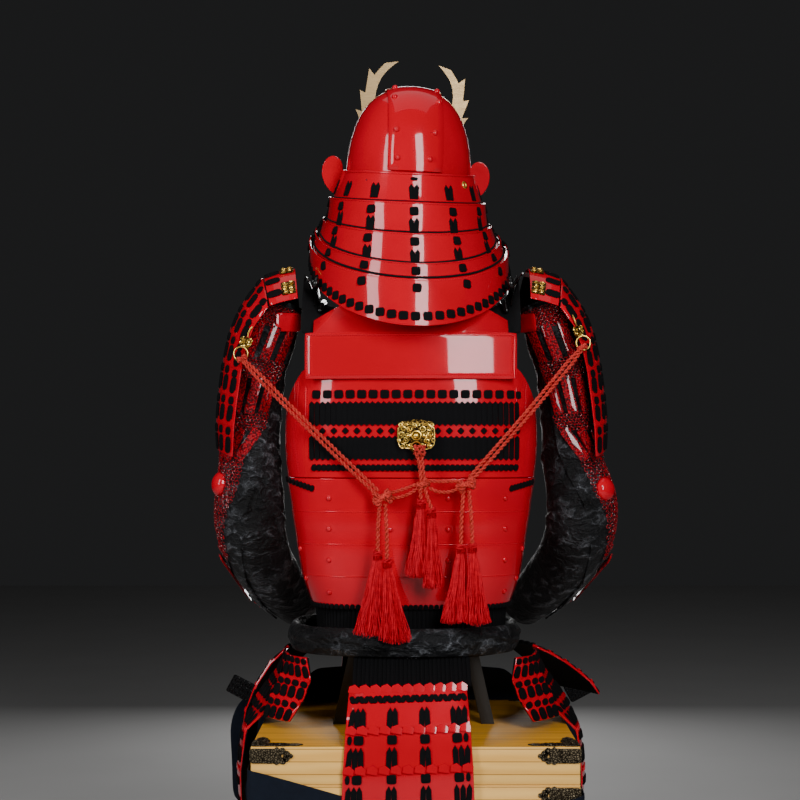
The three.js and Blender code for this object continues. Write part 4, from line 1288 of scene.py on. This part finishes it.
def crease_height(creases, u, degrees):
    """Height of the cloth over its solid, in millimetres, from every crease near this point."""
    total = 0.0
    for u0, turn0, u1, turn1, width, height in creases:
        ax, ay = u0 * ALONG, turn0 * ROUND
        dx, dy = u1 * ALONG - ax, turn1 * ROUND - ay
        px, py = u * ALONG - ax, (degrees % 360) * ROUND - ay
        t = clamp((px * dx + py * dy) / (dx * dx + dy * dy), -RUN_ON, 1 + RUN_ON)
        side = (px * dy - py * dx) / math.hypot(dx, dy)
        reach = math.hypot(px - t * dx, py - t * dy)
        swell = sin(pi * (t + RUN_ON) / (1 + 2 * RUN_ON))
        trough = exp(-((side + TROUGH * width) / (1.2 * width)) ** 2)
        if reach > TROUGH * width:
            trough *= exp(-((reach - TROUGH * width) / (1.6 * width)) ** 2)
        ridge = exp(-(reach / width) ** 2) * max(0, swell) ** 0.5
        total += height * ridge - height * 0.45 * trough * max(0, swell)
    return total


def flipped(quads):
    """The same quads, facing the other way."""
    return [(a, d, c, b) for a, b, c, d in quads]


def cloth_tube(name, outer, inner):
    """A wall between two grids of points that close round, with both rims rolled shut."""
    rows, count = len(outer), len(outer[0])
    points = [p for grid in (outer, inner) for row in grid for p in row]
    lining, last = rows * count, (rows - 1) * count
    faces = strips(rows, count) + flipped(strips(rows, count, lining))
    faces += flipped(strips(2, count, 0, lining)) + strips(2, count, last, lining)
    piece = mesh_piece(name, points, faces)
    face_outwards(piece)
    return piece


CLOTH_WALL, MOST_LIFT, MAIL_MIDDLE, MAIL_HALF = 2.0, 5.0, 30, 75


def sleeve_cloth(side, way):
    panel = sleeve_panel(side, way)
    rows, count = 96, 84
    outer, inner = [], []
    for i in range(rows):
        u = i / (rows - 1)
        middle = arm_middle(side, way, u)
        ring, lining = [], []
        for k in range(count):
            degrees = 360 * k / count
            spot = panel(u, degrees)
            out = (spot - middle).normalized()
            under_mail = exp(-(((degrees + 180) % 360 - 180 - MAIL_MIDDLE) / MAIL_HALF) ** 4)
            lift = crease_height(CREASES[side], u, degrees) * (1 - 0.9 * under_mail)
            lift += 0.9 * sin(u * 31 + degrees * 0.05) * (1 - under_mail) - 1.2 * under_mail
            lift = min(lift, MOST_LIFT) * sin(pi * clamp(u, 0.02, 0.98)) ** 0.3
            ring.append(spot + out * lift * MM)
            lining.append(spot + out * (lift - CLOTH_WALL) * MM)
        outer.append(ring)
        inner.append(lining)
    piece = cloth_tube(f"sleeve_cloth_{side}", outer, inner)
    finish_piece(piece, piece.name, BROCADE, [f"sleeve_{side}"], 80)
    girth = sum(length_of([*ring, ring[0]]) for ring in outer) / rows
    run = length_of([sleeve_line(i / 40) for i in range(41)]) * MM
    print(f"{piece.name}: cut {girth * 1000:.0f} by {run * 1000:.0f} mm")


for side, way in SIDES:
    sleeve_cloth(side, way)

# %% [markdown]
# ## Arm guards
# Long hammered splints lie along each sleeve, joined by mail. The mail covers the elbow round a
# fluted boss. The rings are real rings here, since their openwork shows the black cloth below.

# %% Splints, mail and boss
MAIL_REACH = [(0.02, -60, 158), (0.3, -60, 138), (0.49, -56, 112), (0.57, -55, 82),
              (0.66, -50, 68), (0.755, -50, 45), (0.97, -56, 30)]
SPLINT_ROWS = ((0.105, 0.245), (0.3, 0.43), (0.475, 0.575), (0.8, 0.93))
SPLINT_PITCH, RING_PITCH = 0.0265, 0.0062
splint = pad("splint", 16, 50, 2.6, 2.4, 1, 0.8)
pin = rivet("pin", 1.7, 1.3)
top_plate = pad("top_plate", 42, 29, 2.6, 5, 3, 1.4)


def ring_shape(segments, sides, radius, wire):
    return added("torus", major_segments=segments, minor_segments=sides,
                 major_radius=radius * MM, minor_radius=wire * MM)


mail_ring = ring_shape(8, 4, 3.2, 0.62)
boss = added("uv_sphere", segments=48, ring_count=12, radius=1)
boss.scale = Vector((19, 19, 12.5)) * MM
settle(boss)
for vertex in boss.data.vertices:
    if vertex.index % 2 and vertex.co.z < 11.5 * MM:
        vertex.co.x *= 0.94
        vertex.co.y *= 0.94
prototypes += [splint, pin, top_plate, mail_ring, boss]
# The boss's place down the sleeve and round it, and how far out the smooth top plate lies.
BOSS = {"left": (0.645, 28), "right": (0.655, 46)}
TOP_PLATE = {"left": 195, "right": 186}


def across_mail(u, t):
    first, last = (read_table(MAIL_REACH, column, u) for column in (1, 2))
    return first + (last - first) * t


def mail_girth(panel, u):
    return length_of([panel(u, across_mail(u, k / 12)) for k in range(13)])


for side, way in SIDES:
    ground = dress(f"arm_armour_{side}", BROCADE, 0)
    panel = sleeve_panel(side, way, 5.0)

    def arm_seat(u, t, lift, tilt=0.0, size=(1, 1, 1)):
        degrees = across_mail(u, t)
        spot = panel(u, degrees)
        up = panel(u - 0.01, across_mail(u - 0.01, t)) - panel(u + 0.01, across_mail(u + 0.01, t))
        outward = up.cross(panel(u, degrees + 1) - panel(u, degrees - 1))
        line = sleeve_line(u)
        if outward.dot(spot - at(way * line.x, line.y, line.z)) < 0:
            outward = -outward
        return placed(spot, outward, up, tilt, lift, size)

    splints, pins, rings = [], [], []
    for top, foot in SPLINT_ROWS:
        count = max(3, round(mail_girth(panel, (top + foot) / 2) / SPLINT_PITCH))
        for k in range(count):
            t = (k + 0.5) / count
            reach = (panel(top, across_mail(top, t)) - panel(foot, across_mail(foot, t))).length
            splints.append(arm_seat((top + foot) / 2, t, 0.8, 0, (1, reach / 0.05, 1)))
            for u in (top + 0.008, foot - 0.008):
                for shift in (-0.011, 0.011):
                    pins.append(arm_seat(u, t + shift * 1.8, 3.0))
    u, row = 0.03, 0
    while u < 0.965:
        covered = any(top + 0.004 < u < foot - 0.004 for top, foot in SPLINT_ROWS)
        count = 0 if covered else round(mail_girth(panel, u) / RING_PITCH)
        for k in range(count):
            t = (k + 0.25 + 0.5 * (row % 2)) / count
            rings.append(arm_seat(u, t, 0.1) @ Matrix.Rotation(
                radians(24 if (k + row) % 2 else -24), 4, "XY"[row % 2]))
        u += 0.0053 / 0.62
        row += 1
    lay_copies(f"splints_{side}", splint, splints, HAMMERED)
    lay_copies(f"splint_pins_{side}", pin, pins, BLACK_LACQUER, 80)
    lay_copies(f"mail_{side}", mail_ring, rings, HAMMERED, 80)
    arm_tree = tree_of(ground)
    lay_copies(f"top_plate_{side}", top_plate, [ray_seat(
        arm_tree, at(way * TOP_PLATE[side], -400, 1113), LOOK, 0, 3.0)], RED_LACQUER)
    u, degrees = BOSS[side]
    reach = read_table(MAIL_REACH, 2, u) - read_table(MAIL_REACH, 1, u)
    lay_copies(f"boss_{side}", boss, [arm_seat(u, (degrees - read_table(MAIL_REACH, 1, u)) / reach,
                                               -1.0)], RED_LACQUER, 20)
# %% [markdown]
# ## Rivets, beads and seams
# The helmet's broad middle plate is riveted along both edges. The neck guard starts under a rounded
# bead, and each lame of the cuirass shows a fine lit edge. A bead is a thin rod laid on the plate.
# Black rods above the lower neck lames are painted shadow in the gaps between the lames.

# %% Rivets of the helmet
band_tree = plate_tree("helmet_back_band")


def box_of(node):
    """Both corners of a solid's box, in millimetres."""
    return (Vector(corner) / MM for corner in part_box(node))


def on_crown(x, y, z):
    """A seat on the nearest place of the helmet's middle plate."""
    hit, outward, _, _ = band_tree.find_nearest(at(x, y, z))
    if outward.dot(at(x, y, z) - at(-4, -6, min(z, 1400))) < 0:
        outward = -outward
    return placed(hit, outward, UP, size=(1.05, 1.05, 1.25))


crown = [on_crown(*spot) for spot in (
    (-26, -145, 1361), (-26, -133, 1408), (-26, -87, 1462), (-26, -45, 1489), (38, -145, 1358),
    (44, -133, 1404), (44, -87, 1455), (42, -45, 1482), (-24, 20, 1494), (42, 20, 1488),
    (-24, 70, 1466), (40, 70, 1462), (-22, 112, 1412), (36, 112, 1408))]
lay_copies("helmet_rivets", red_rivet, crown, RED_LACQUER, 80)


# %% Beads and seams
def bead(seats, diameter):
    """A rod, its diameter in millimetres, that runs through a row of seats."""
    route = smooth_route([place.translation for place in seats], 0.006)
    return rope_mesh("bead", route, diameter * MM, 1, 1, 8)


def along_lame(on, number, s, lift, step):
    tree, panel = plate_tree(f"neck_guard_lame_{on}"), neck_panel(number)
    return [seat(tree, panel, s, turn, 0, lift, step=0.5) for turn in range(-112, 113, step)]


# Painted shadow: a black rod above each lower neck lame stands in for the shade in the gap between
# lames.
beads, painted_shadow_rods = [bead(along_lame(1, 1, 0.03, 0.2, 8), 3.6)], []
for number, width in ((2, 1.8), (3, 2.8), (4, 3.4), (5, 3.8)):
    beads.append(bead(along_lame(number, number, 0.004, 0.1, 7), 2.0))
    painted_shadow_rods.append(bead(along_lame(number - 1, number, -0.055, 0.3, 7), width))
finish_piece(joined(painted_shadow_rods, "painted_lame_shadows"), "painted_lame_shadows", BLACK_CLOTH, [], 80)
beads += [bead(round_body(lame_tree, z, -82, 82, 14, 0, -0.25), 2.0)
          for z in (867.4, 817.6, 767.6, 717.6)]
board_tree = plate_tree("back_board")
low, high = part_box("back_board")
left, right, foot, head = (low[0] / MM + 4, high[0] / MM - 4, low[2] / MM + 2.5,
                           high[2] / MM - 4)
rim = [(left, foot + k * (head - foot) / 6) for k in range(7)]
rim += [(left + k * (right - left) / 20, head) for k in range(1, 21)]
rim += [(right, head + k * (foot - head) / 6) for k in range(1, 7)]
beads.append(bead([on_back(x, z, tree=board_tree) for x, z in rim], 2.6))
beads += [bead([on_back(x, z, 0, -0.2) for z in range(876, 1014, 12)], 1.5) for x in (-163, 162)]
finish_piece(joined(beads, "beads"), "beads", RED_LACQUER, [], 80)
print("beads laid")

# %% [markdown]
# ## Gilt fittings
# The fittings are openwork: gilt wires that wind into scrolls over a darker chased ground. A scroll
# is one thin rod that follows a spiral, and a fitting is a plate with its scrolls joined on top.

# %% Scrolls on a ground plate
def curl(x, y, radius, start, way, turns, wire=2.0, rise=1.6):
    """One scroll, in the fitting's own plane, from its outer end to its middle."""
    count = round(13 * turns)
    route = []
    for k in range(count + 1):
        t = k / count
        angle = radians(start) + way * tau * turns * t
        r = radius * (1 - 0.86 * t)
        route.append(at(x + r * cos(angle), y + r * sin(angle), rise + 0.8 * t))
    return rope_mesh("curl", route, wire * MM, 1, 1, 5)


def line_wire(spots, wire):
    return rope_mesh("wire", smooth_route([at(*spot) for spot in spots], 0.002), wire * MM, 1, 1, 6)


def fitting(name, place, ground, curls, extras=(), solids=()):
    """A ground plate with scrolls, both moved to their place on the armour."""
    scrolls = joined([curl(*c) for c in curls] + list(extras), "scrolls")
    for piece, label, finish in ((ground, "ground", DARK_GILT), (scrolls, "scrolls", GOLD_WIRE)):
        if piece:
            piece.data.transform(place)
            finish_piece(piece, f"{name}_{label}", finish, list(solids), 50)


def both_sides(rows):
    """Scrolls and their mirror images: the start angle and the winding change sides."""
    return [*rows, *[(-x, y, r, 180 - start, -way, *rest) for x, y, r, start, way, *rest in rows]]


# %% The bow plate
low, high = (Vector(corner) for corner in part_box("bow_plate"))
middle = (low + high) / 2
face = Vector((middle.x + 0.005, low.y, middle.z + 0.0005))
on_face = placed(face, -LOOK, UP, size=(0.98, 0.92, 1))
bow_curls = both_sides([
    (9.5, 12.5, 5.6, 250, 1, 1.5), (19.5, 13.5, 5.0, 90, -1, 1.4), (25, 19.0, 3.6, 200, -1, 1.0),
    (13.5, 2.5, 4.6, 160, 1, 1.5), (23.0, 3.5, 5.2, 270, -1, 1.5), (17.0, -7.5, 5.4, 60, 1, 1.5),
    (26.0, -7.0, 3.8, 120, -1, 1.2), (9.5, -14.5, 5.0, 20, -1, 1.4), (21.5, -16.5, 4.6, 80, 1, 1.4),
    (3.4, 19.0, 3.4, 220, -1, 1.1), (15.5, 20.5, 3.0, 180, 1, 1.0), (4.5, -19.5, 3.2, 90, 1, 1.0)])
hoop = line_wire([(-8.5, -20, 1.8), (-7.5, -14, 2.6), (-3.6, -10, 3.2), (0, -9, 3.4),
                  (3.6, -10, 3.2), (7.5, -14, 2.6), (8.5, -20, 1.8)], 2.4)
outline = line_wire([(28.2 * math.copysign(abs(cos(a)) ** 0.45, cos(a)),
                      20.6 * math.copysign(abs(sin(a)) ** 0.5, sin(a))
                      + 0.9 * sin(6 * a), 0.9)
                     for a in (tau * k / 44 for k in range(45))], 1.7)
boss_ball = rivet("boss_ball", 5.0, 4.6)
boss_ball.data.transform(Matrix.Translation(at(0, 1.5, 1.4)))
collar = line_wire([(7.2 * cos(a), 1.5 + 7.2 * sin(a), 2.2)
                    for a in (tau * k / 24 for k in range(25))], 1.9)
bow_ground = dress("bow_plate", DARK_GILT, 0, name="bow_plate_ground")
bow_ground.data.transform(Matrix.Translation(middle + at(5, 0, 0.5)) @ Matrix.Diagonal(
    (0.97, 1, 0.92, 1)) @ Matrix.Translation(-middle))
fitting("bow_plate", on_face, None, bow_curls, [hoop, outline, boss_ball, collar], ["bow_plate"])
print("bow plate:", len(bow_curls), "scrolls at", tuple(face))

# %% Crown plates and ring plates of the guards
for side, way in SIDES:
    panel = guard_panel(side, way)
    crown_tree = plate_tree(f"guard_crown_{side}")
    for k, v in enumerate((-0.80, -0.26, 0.30, 0.82)):
        place = seat(crown_tree, panel, 15, v, 0, 0.2)
        fitting(f"crown_plate_{side}_{k + 1}", place, pad("ground", 30, 22, 1.6, 1.4, 1, 0.3),
                [(-9.5, 4.5, 4.2, 40, 1, 1.4), (-9.5, -5, 4.2, 90, -1, 1.3),
                 (0, 4.8, 4.2, 200, 1, 1.6), (0, -4.8, 4.2, 20, -1, 1.6),
                 (9.5, 5, 4.2, 10, -1, 1.3), (9.6, -4.6, 4.2, 300, 1, 1.4)])
    low, high = (Vector(corner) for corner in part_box(f"guard_ring_{side}"))
    hit = plate_tree(f"guard_lames_{side}").find_nearest((low + high) / 2 + at(0, 0, 19))
    outward = hit[1] if hit[1].x * way > 0 else -hit[1]
    place = placed(hit[0], outward, Vector((0, -0.25, 1)), 0, 1.0)
    spike = line_wire([(0, 9, 1.5), (-1.5, 15, 2.2), (-1.0, 21, 2.0), (1.0, 27, 1.2)], 2.2)
    fitting(f"ring_plate_{side}", place, pad("ground", 27, 17, 1.6, 6.0, 2, 0.5),
            both_sides([(6.0, 3.0, 4.4, 200, 1, 1.4), (11.5, -1.5, 4.2, 90, -1, 1.4),
                        (14.5, 4.5, 2.8, 200, -1, 1.0), (4.6, -6.0, 3.8, 60, 1, 1.3),
                        (10.5, 7.5, 2.6, 200, 1, 1.0)]), [spike])
    hoop = dress(f"guard_ring_{side}", GOLD_WIRE, 1)
    middle = sum((v.co for v in hoop.data.vertices), Vector()) / len(hoop.data.vertices)
    hoop.data.transform(Matrix.Translation(middle - at(0, 0, 1.5)) @ Matrix.Scale(1.25, 4)
                        @ Matrix.Translation(-middle))

eyelet, dot = ring_shape(20, 8, 4.6, 1.7), rivet("dot", 1.3, 0.5)
prototypes += [eyelet, dot]
lay_copies("eyelet_ring", eyelet, lace_seats["eyelet"], GOLD_WIRE, 80)
lay_copies("eyelet_holes", dot, lace_seats["eyelet"] + lace_seats["hole"], BLACK_LACQUER,
           80)

# %% [markdown]
# ## Chest
# The chest is glued up from pine strips under clear varnish, and its lid shows as one fine joint.
# Pressed bronze plates with lobed ends guard the corners. One plate is made, with its chased
# scrolls, and copied to every edge that meets a corner.

# %% Bevelled woodwork
def bevelled(node, finish, width):
    piece = copy_of(node)
    modify(piece, "BEVEL", width=width * MM, segments=2, limit_method="ANGLE",
           angle_limit=radians(30))
    return finish_piece(piece, f"{node}_dressed", finish, [node], 32)


bevelled("chest_body", PINE, 1.0)
lid = bevelled("chest_lid", PINE, 1.6)
lid.data.materials.append(PINE_TOP)
for face in lid.data.polygons:
    face.material_index = 1 if face.normal.z > 0.9 else 0
bevelled("stand", BLACK_WOOD, 1.8)
print("woodwork bevelled")


# %% Lobed corner plates
def lobed_plate():
    parts = [pad("plate", 45, 21.5, 1.7, 2.0, 1, 0.25)]
    parts[0].data.transform(Matrix.Translation(at(22.5, 0, 0)))
    for x, y, r in ((46, 7.2, 5.0), (47, -7.2, 5.0), (52.5, 2.6, 5.2), (52, -3.4, 5.0),
                    (38, 9.6, 3.4), (38, -9.6, 3.4), (58.5, 0, 3.4)):
        parts.append(added("cylinder", vertices=14, radius=r * MM, depth=1.6 * MM,
                           location=at(x, y, 0)))
        settle(parts[-1])
    for row in ((9, 4.4, 4.8, 90, 1), (9, -4.8, 4.4, 200, -1), (20, 4.6, 5.0, 260, -1),
                (20, -4.4, 4.8, 60, 1), (31, 4.2, 5.0, 120, 1), (31, -4.6, 4.6, 300, -1),
                (42, 4.6, 4.6, 200, -1), (42.5, -4.6, 4.4, 20, 1), (51.5, 0, 4.0, 180, 1)):
        parts.append(curl(*row, 1.3, 1.3, 0.8))
    return joined(parts, "lobed_plate")


lobed = lobed_plate()
pointed_tip = pointed("tip", 16, 9, 1.6, 9, 0.4, both=False)
pointed_tip.data.transform(Matrix.Translation(at(62, 0, 0)) @ Matrix.Rotation(-pi / 2, 4, "Z"))
prototypes += [lobed, pointed_tip]


def along(spot, inward, outward):
    across = Vector(outward).cross(Vector(inward))
    turn = Matrix((Vector(inward), across, Vector(outward))).transposed()
    return Matrix.Translation(spot) @ turn.to_4x4()


# Heights of the plates on the chest's sides, its top, and how far a plate stands off and in.
PLATE_ROWS, CHEST_TOP, OFF, INSET = (466.5, 409.5, 13.5), 480.9, 0.9, 12.5
corners = [(sx, sy, x, y) for sx, x in ((-1, -235), (1, 245)) for sy, y in ((-1, -240), (1, 240))]
plates_here, top_here = [], []
for sx, sy, x, y in corners:
    for z in PLATE_ROWS:
        plates_here.append(along(at(x, y + sy * OFF, z), (-sx, 0, 0), (0, sy, 0)))
        plates_here.append(along(at(x + sx * OFF, y, z), (0, -sy, 0), (sx, 0, 0)))
    top_here.append(along(at(x, y - sy * INSET, CHEST_TOP), (-sx, 0, 0), UP))
    top_here.append(along(at(x - sx * INSET, y, CHEST_TOP), (0, -sy, 0), UP))
lay_copies("chest_corners", lobed, plates_here + top_here, BRONZE, 30)
lay_copies("chest_tips", pointed_tip, top_here, BRONZE, 30)

# %% [markdown]
# ## Waist: laces, sash and band
# Close black laces join the cuirass to its skirts. Over them lies a thick rolled sash of the same
# brocade as the sleeves. Its folds run along the roll and gather at the sides, so they are given
# one by one as long shallow ridges.

# %% Vertical laces
cord_rib = pointed("cord_rib", 6.6, 30, 2.0, 2.0, 1.3)
prototypes.append(cord_rib)
waist = dress("waist_lacing", BLACK_CLOTH, 0)
waist_tree = tree_of(waist)
ribs = []
for z, reach in ((651, 1.0), (617, 1.12)):
    ribs += round_body(waist_tree, z, -180, 178, 6.4, 0, 0.0, (0.9, reach, 1))
fall = dress("back_lacing", BLACK_CLOTH, 0)
fall_tree = tree_of(fall)
low, high = box_of("back_lacing")
for k, x in enumerate(spread(low.x + 3, high.x - 3, 28)):
    for share in (0.15, 0.5, 0.85):
        y = high.y + (low.y - high.y) * share
        hit = fall_tree.ray_cast(at(x, y, 800), -UP)
        if hit[0]:
            out = hit[1] if hit[1].z > 0 else -hit[1]
            ribs.append(placed(hit[0], out, Vector((0, 1, 0.3)), 0, 0.1,
                               (0.82 + 0.1 * sin(k * 2.4), 0.92, 1)))
lay_copies("waist_cords", cord_rib, ribs)


# %% Sash
# Folds of the roll: first and last angle round the waist, height at both ends, width and rise.
FOLDS = [(-60, 12, 6, -4, 5, 3.0), (-20, 48, -9, 2, 5, 2.6), (30, 78, 8, -2, 5, 3.2),
         (-85, -35, -3, 10, 5, 3.2), (-52, -8, -12, -7, 4, 2.2), (8, 62, 13, 9, 4, 2.0),
         (70, 130, 4, -6, 6, 3.0), (110, 170, -8, 5, 6, 2.6), (-135, -80, 6, -5, 6, 3.0),
         (-178, -120, -4, 8, 6, 2.6), (150, 200, 9, 0, 5, 2.4), (-15, 22, 4, 6, 4, 1.8)]


def sash_cloth():
    piece = copy_of("waist_sash")
    subdivide(piece, 3)
    middle = at(-11, 0, 620)
    for vertex in piece.data.vertices:
        spot = vertex.co - middle
        angle = math.degrees(math.atan2(spot.x, -spot.y))
        height = spot.z / MM
        lift = 0.0
        for first, last, z0, z1, width, rise in FOLDS:
            for turned in (angle, angle + 360):
                t = (turned - first) / (last - first)
                if 0 < t < 1:
                    off = (height - (z0 + (z1 - z0) * t + 2.5 * sin(5 * t))) / width
                    ridge, trough = exp(-off ** 2), exp(-(off + 1.9) ** 2)
                    lift += rise * sin(pi * t) * (ridge - 0.5 * trough)
        lift += 0.8 * sin(angle * 0.21 + height * 0.3)
        flat = Vector((spot.x, spot.y, 0)).normalized()
        vertex.co += flat * min(lift, 4.0) * MM
    finish_piece(piece, "sash_roll", BROCADE, ["waist_sash"], 80)
    print("sash:", len(piece.data.polygons), "faces")


sash_cloth()

# %% [markdown]
# ## Thigh aprons
# The thigh aprons are two flat sheets of navy cloth that hang over the chest's front edge. Their
# waistband runs round the chest and sags a little at the back. The weight of the cloth gives a few
# soft vertical folds that open towards the hem.

# %% Aprons and their band
def apron_cloth(side, way):
    piece = copy_of(f"thigh_apron_{side}")
    subdivide(piece, 2)
    for vertex in piece.data.vertices:
        x = vertex.co.x * way / MM
        down = clamp((0.48 - vertex.co.z) / 0.17)
        wave = sin(x * 0.062 + 0.5 * sin(x * 0.021)) + 0.4 * sin(x * 0.151 + way)
        vertex.co.y += wave * 2.6 * MM * down
        height = clamp((vertex.co.z - 0.30) / 0.185)
        share = clamp((x - 100) / 180) * clamp((0.518 - vertex.co.z) / 0.03)
        vertex.co.x += way * share * (12 + 42 * height ** 2) * (0.65 - 0.35 * way) * MM
    finish_piece(piece, f"apron_cloth_{side}", NAVY_CLOTH,
                 [f"thigh_apron_{side}"], 80)


for side, way in SIDES:
    apron_cloth(side, way)
    corner = placed(at(way * 289, 214, 503), Vector((0.25 * way, -1, 0.35)), UP, 24 * way)
    backing = pad("backing", 48, 32, 1.6, 4, 2, 0.2)
    backing.data.transform(corner)
    finish_piece(backing, f"apron_patch_{side}", BLACK_CLOTH, [], 40)
    patch = [corner @ Matrix.Translation(at(-20 + 5.2 * i, -12.5 + 5 * k, 1.4))
             @ Matrix.Rotation(radians((-22, 22)[(i + k) % 2]), 4, "XY"[k % 2])
             for i in range(9) for k in range(6)]
    lay_copies(f"apron_mail_{side}", mail_ring, patch, BLACK_LACQUER, 80)

# The band's upper edge, from the left apron round the back to the right apron.
BAND = [(-252, 243, 470), (-243, 205, 466), (-240, 100, 460), (-239, 0, 455), (-239, -120, 450),
        (-240, -225, 447), (-236, -243.2, 446), (-215, -244, 441), (-150, -244, 423),
        (-80, -244, 403), (-20, -244, 386), (60, -244, 370), (130, -244, 378), (190, -244, 392),
        (228, -244, 403), (246, -243.2, 409), (250, -225, 412), (249, -120, 420), (249, 0, 432),
        (249, 100, 446), (253, 205, 462), (262, 243, 470)]


BAND_WIDTH, BAND_WALL = 0.078, 1.2 * MM


def waist_band():
    top = smooth_route([at(*spot) for spot in BAND], 0.008)
    points, rows = [], 8
    for k, spot in enumerate(top):
        before, after = top[max(k - 1, 0)], top[min(k + 1, len(top) - 1)]
        out = (after - before).cross(UP).normalized()
        for i in range(rows + 1):
            t = i / rows
            fold = 0.5 + 0.5 * sin(9 * t + 14 * k / len(top))
            points.append(spot + Vector((0, 0, -BAND_WIDTH * t)) + out * (0.2 + 0.9 * fold) * MM)
    piece = mesh_piece("apron_band", points, strips(len(top), rows + 1, closed=False))
    modify(piece, "SOLIDIFY", thickness=BAND_WALL, offset=0)
    finish_piece(piece, "apron_band", NAVY_CLOTH, [], 80)
    run = length_of(top)
    print(f"apron_band: {run * 1000:.0f} mm long")


waist_band()

# %% [markdown]
# ## Shoulder padding and toggles
# Under the neck guard the shoulder straps are padded black cloth. A lacquered toggle and a stiff
# loop close each strap, and they are the only glossy black on the armour.

# %% Straps, toggles and loops
for side, way in SIDES:
    strap = dress(f"shoulder_strap_{side}", BLACK_CLOTH, 2, 60, 0.4)
    strap_tree = tree_of(strap)

    def over(x, z, out):
        hit = strap_tree.ray_cast(at(x * way + 3, -400, z), LOOK)[0]
        return ((x * way + 3), (hit.y / MM if hit else -88) - out, z)

    hoop = line_wire([over(*spot) for spot in ((170, 1186, 4), (164, 1176, 6), (159, 1162, 7),
                                               (155, 1148, 7), (153, 1137, 5))], 3.0)
    knobs = []
    for x, z in ((152, 1166), (144, 1138)):
        spots = [at(*over(x - 2, z + 9, 7)), at(*over(x, z, 9)), at(*over(x + 1, z - 9, 7))]
        knobs.append(rope_mesh("knob", smooth_route(spots, 0.002), 10 * MM, 1, 1, 10))
        for spot in (spots[0], spots[-1]):
            end = rivet("end", 5.0, 5.0)
            end.data.transform(Matrix.Translation(spot))
            knobs.append(end)
    finish_piece(joined([hoop, *knobs], "toggles"), f"toggles_{side}", BLACK_LACQUER,
                 [], 60)
print("straps dressed")

# %% [markdown]
# ## Clearing the bench
# The prototypes have done their work, so they are deleted; only their copies stay.

# %% Delete the prototypes
for prototype in prototypes:
    bpy.data.objects.remove(prototype)
print("bench cleared")

# %% [markdown]
# ## Floor and light
# A plain pale floor and two tall soft boxes behind the viewer, as in a studio. Their long shapes
# are what the lacquer mirrors down the helmet and the back.

# %% Floor, lights and world
bpy.ops.mesh.primitive_plane_add(size=14, location=(0, 2, 0))
floor = bpy.context.object
floor.name = "floor"
paper = Finish("paper_floor")
floor.data.materials.append(paper.done(paper.mix(paper.noise(3, 2), (0.40, 0.395, 0.39),
                                                 (0.44, 0.435, 0.43)), 0.9))


def soft_box(name, place, aim, width, height, power, roll=0.0):
    bpy.ops.object.light_add(type="AREA", location=place)
    light = bpy.context.object
    light.name = name
    light.data.shape = "RECTANGLE"
    light.data.size, light.data.size_y = width, height
    light.data.energy = power
    aimed = (Vector(aim) - Vector(place)).to_track_quat("-Z", "Y").to_matrix()
    light.rotation_euler = (aimed @ Matrix.Rotation(radians(roll), 3, "Z")).to_euler()
    return light


soft_box("left_box", (-2.15, -2.0, 1.9), (0, 0, 1.0), 0.75, 1.9, 56)
soft_box("right_box", (0.9, -2.8, 2.0), (0, 0, 1.0), 0.8, 1.9, 86, 6)
soft_box("front_box", (0, 3.2, 1.5), (0, 0, 0.9), 0.8, 1.8, 25)
soft_box("top_box", (0, 0.2, 3.4), (0, 0, 1.0), 2.2, 2.2, 9)
world = bpy.data.worlds.new("studio")
world.use_nodes = True
world.node_tree.nodes["Background"].inputs["Color"].default_value = (0.80, 0.81, 0.83, 1)
world.node_tree.nodes["Background"].inputs["Strength"].default_value = 0.018
bpy.context.scene.world = world
print("studio ready")
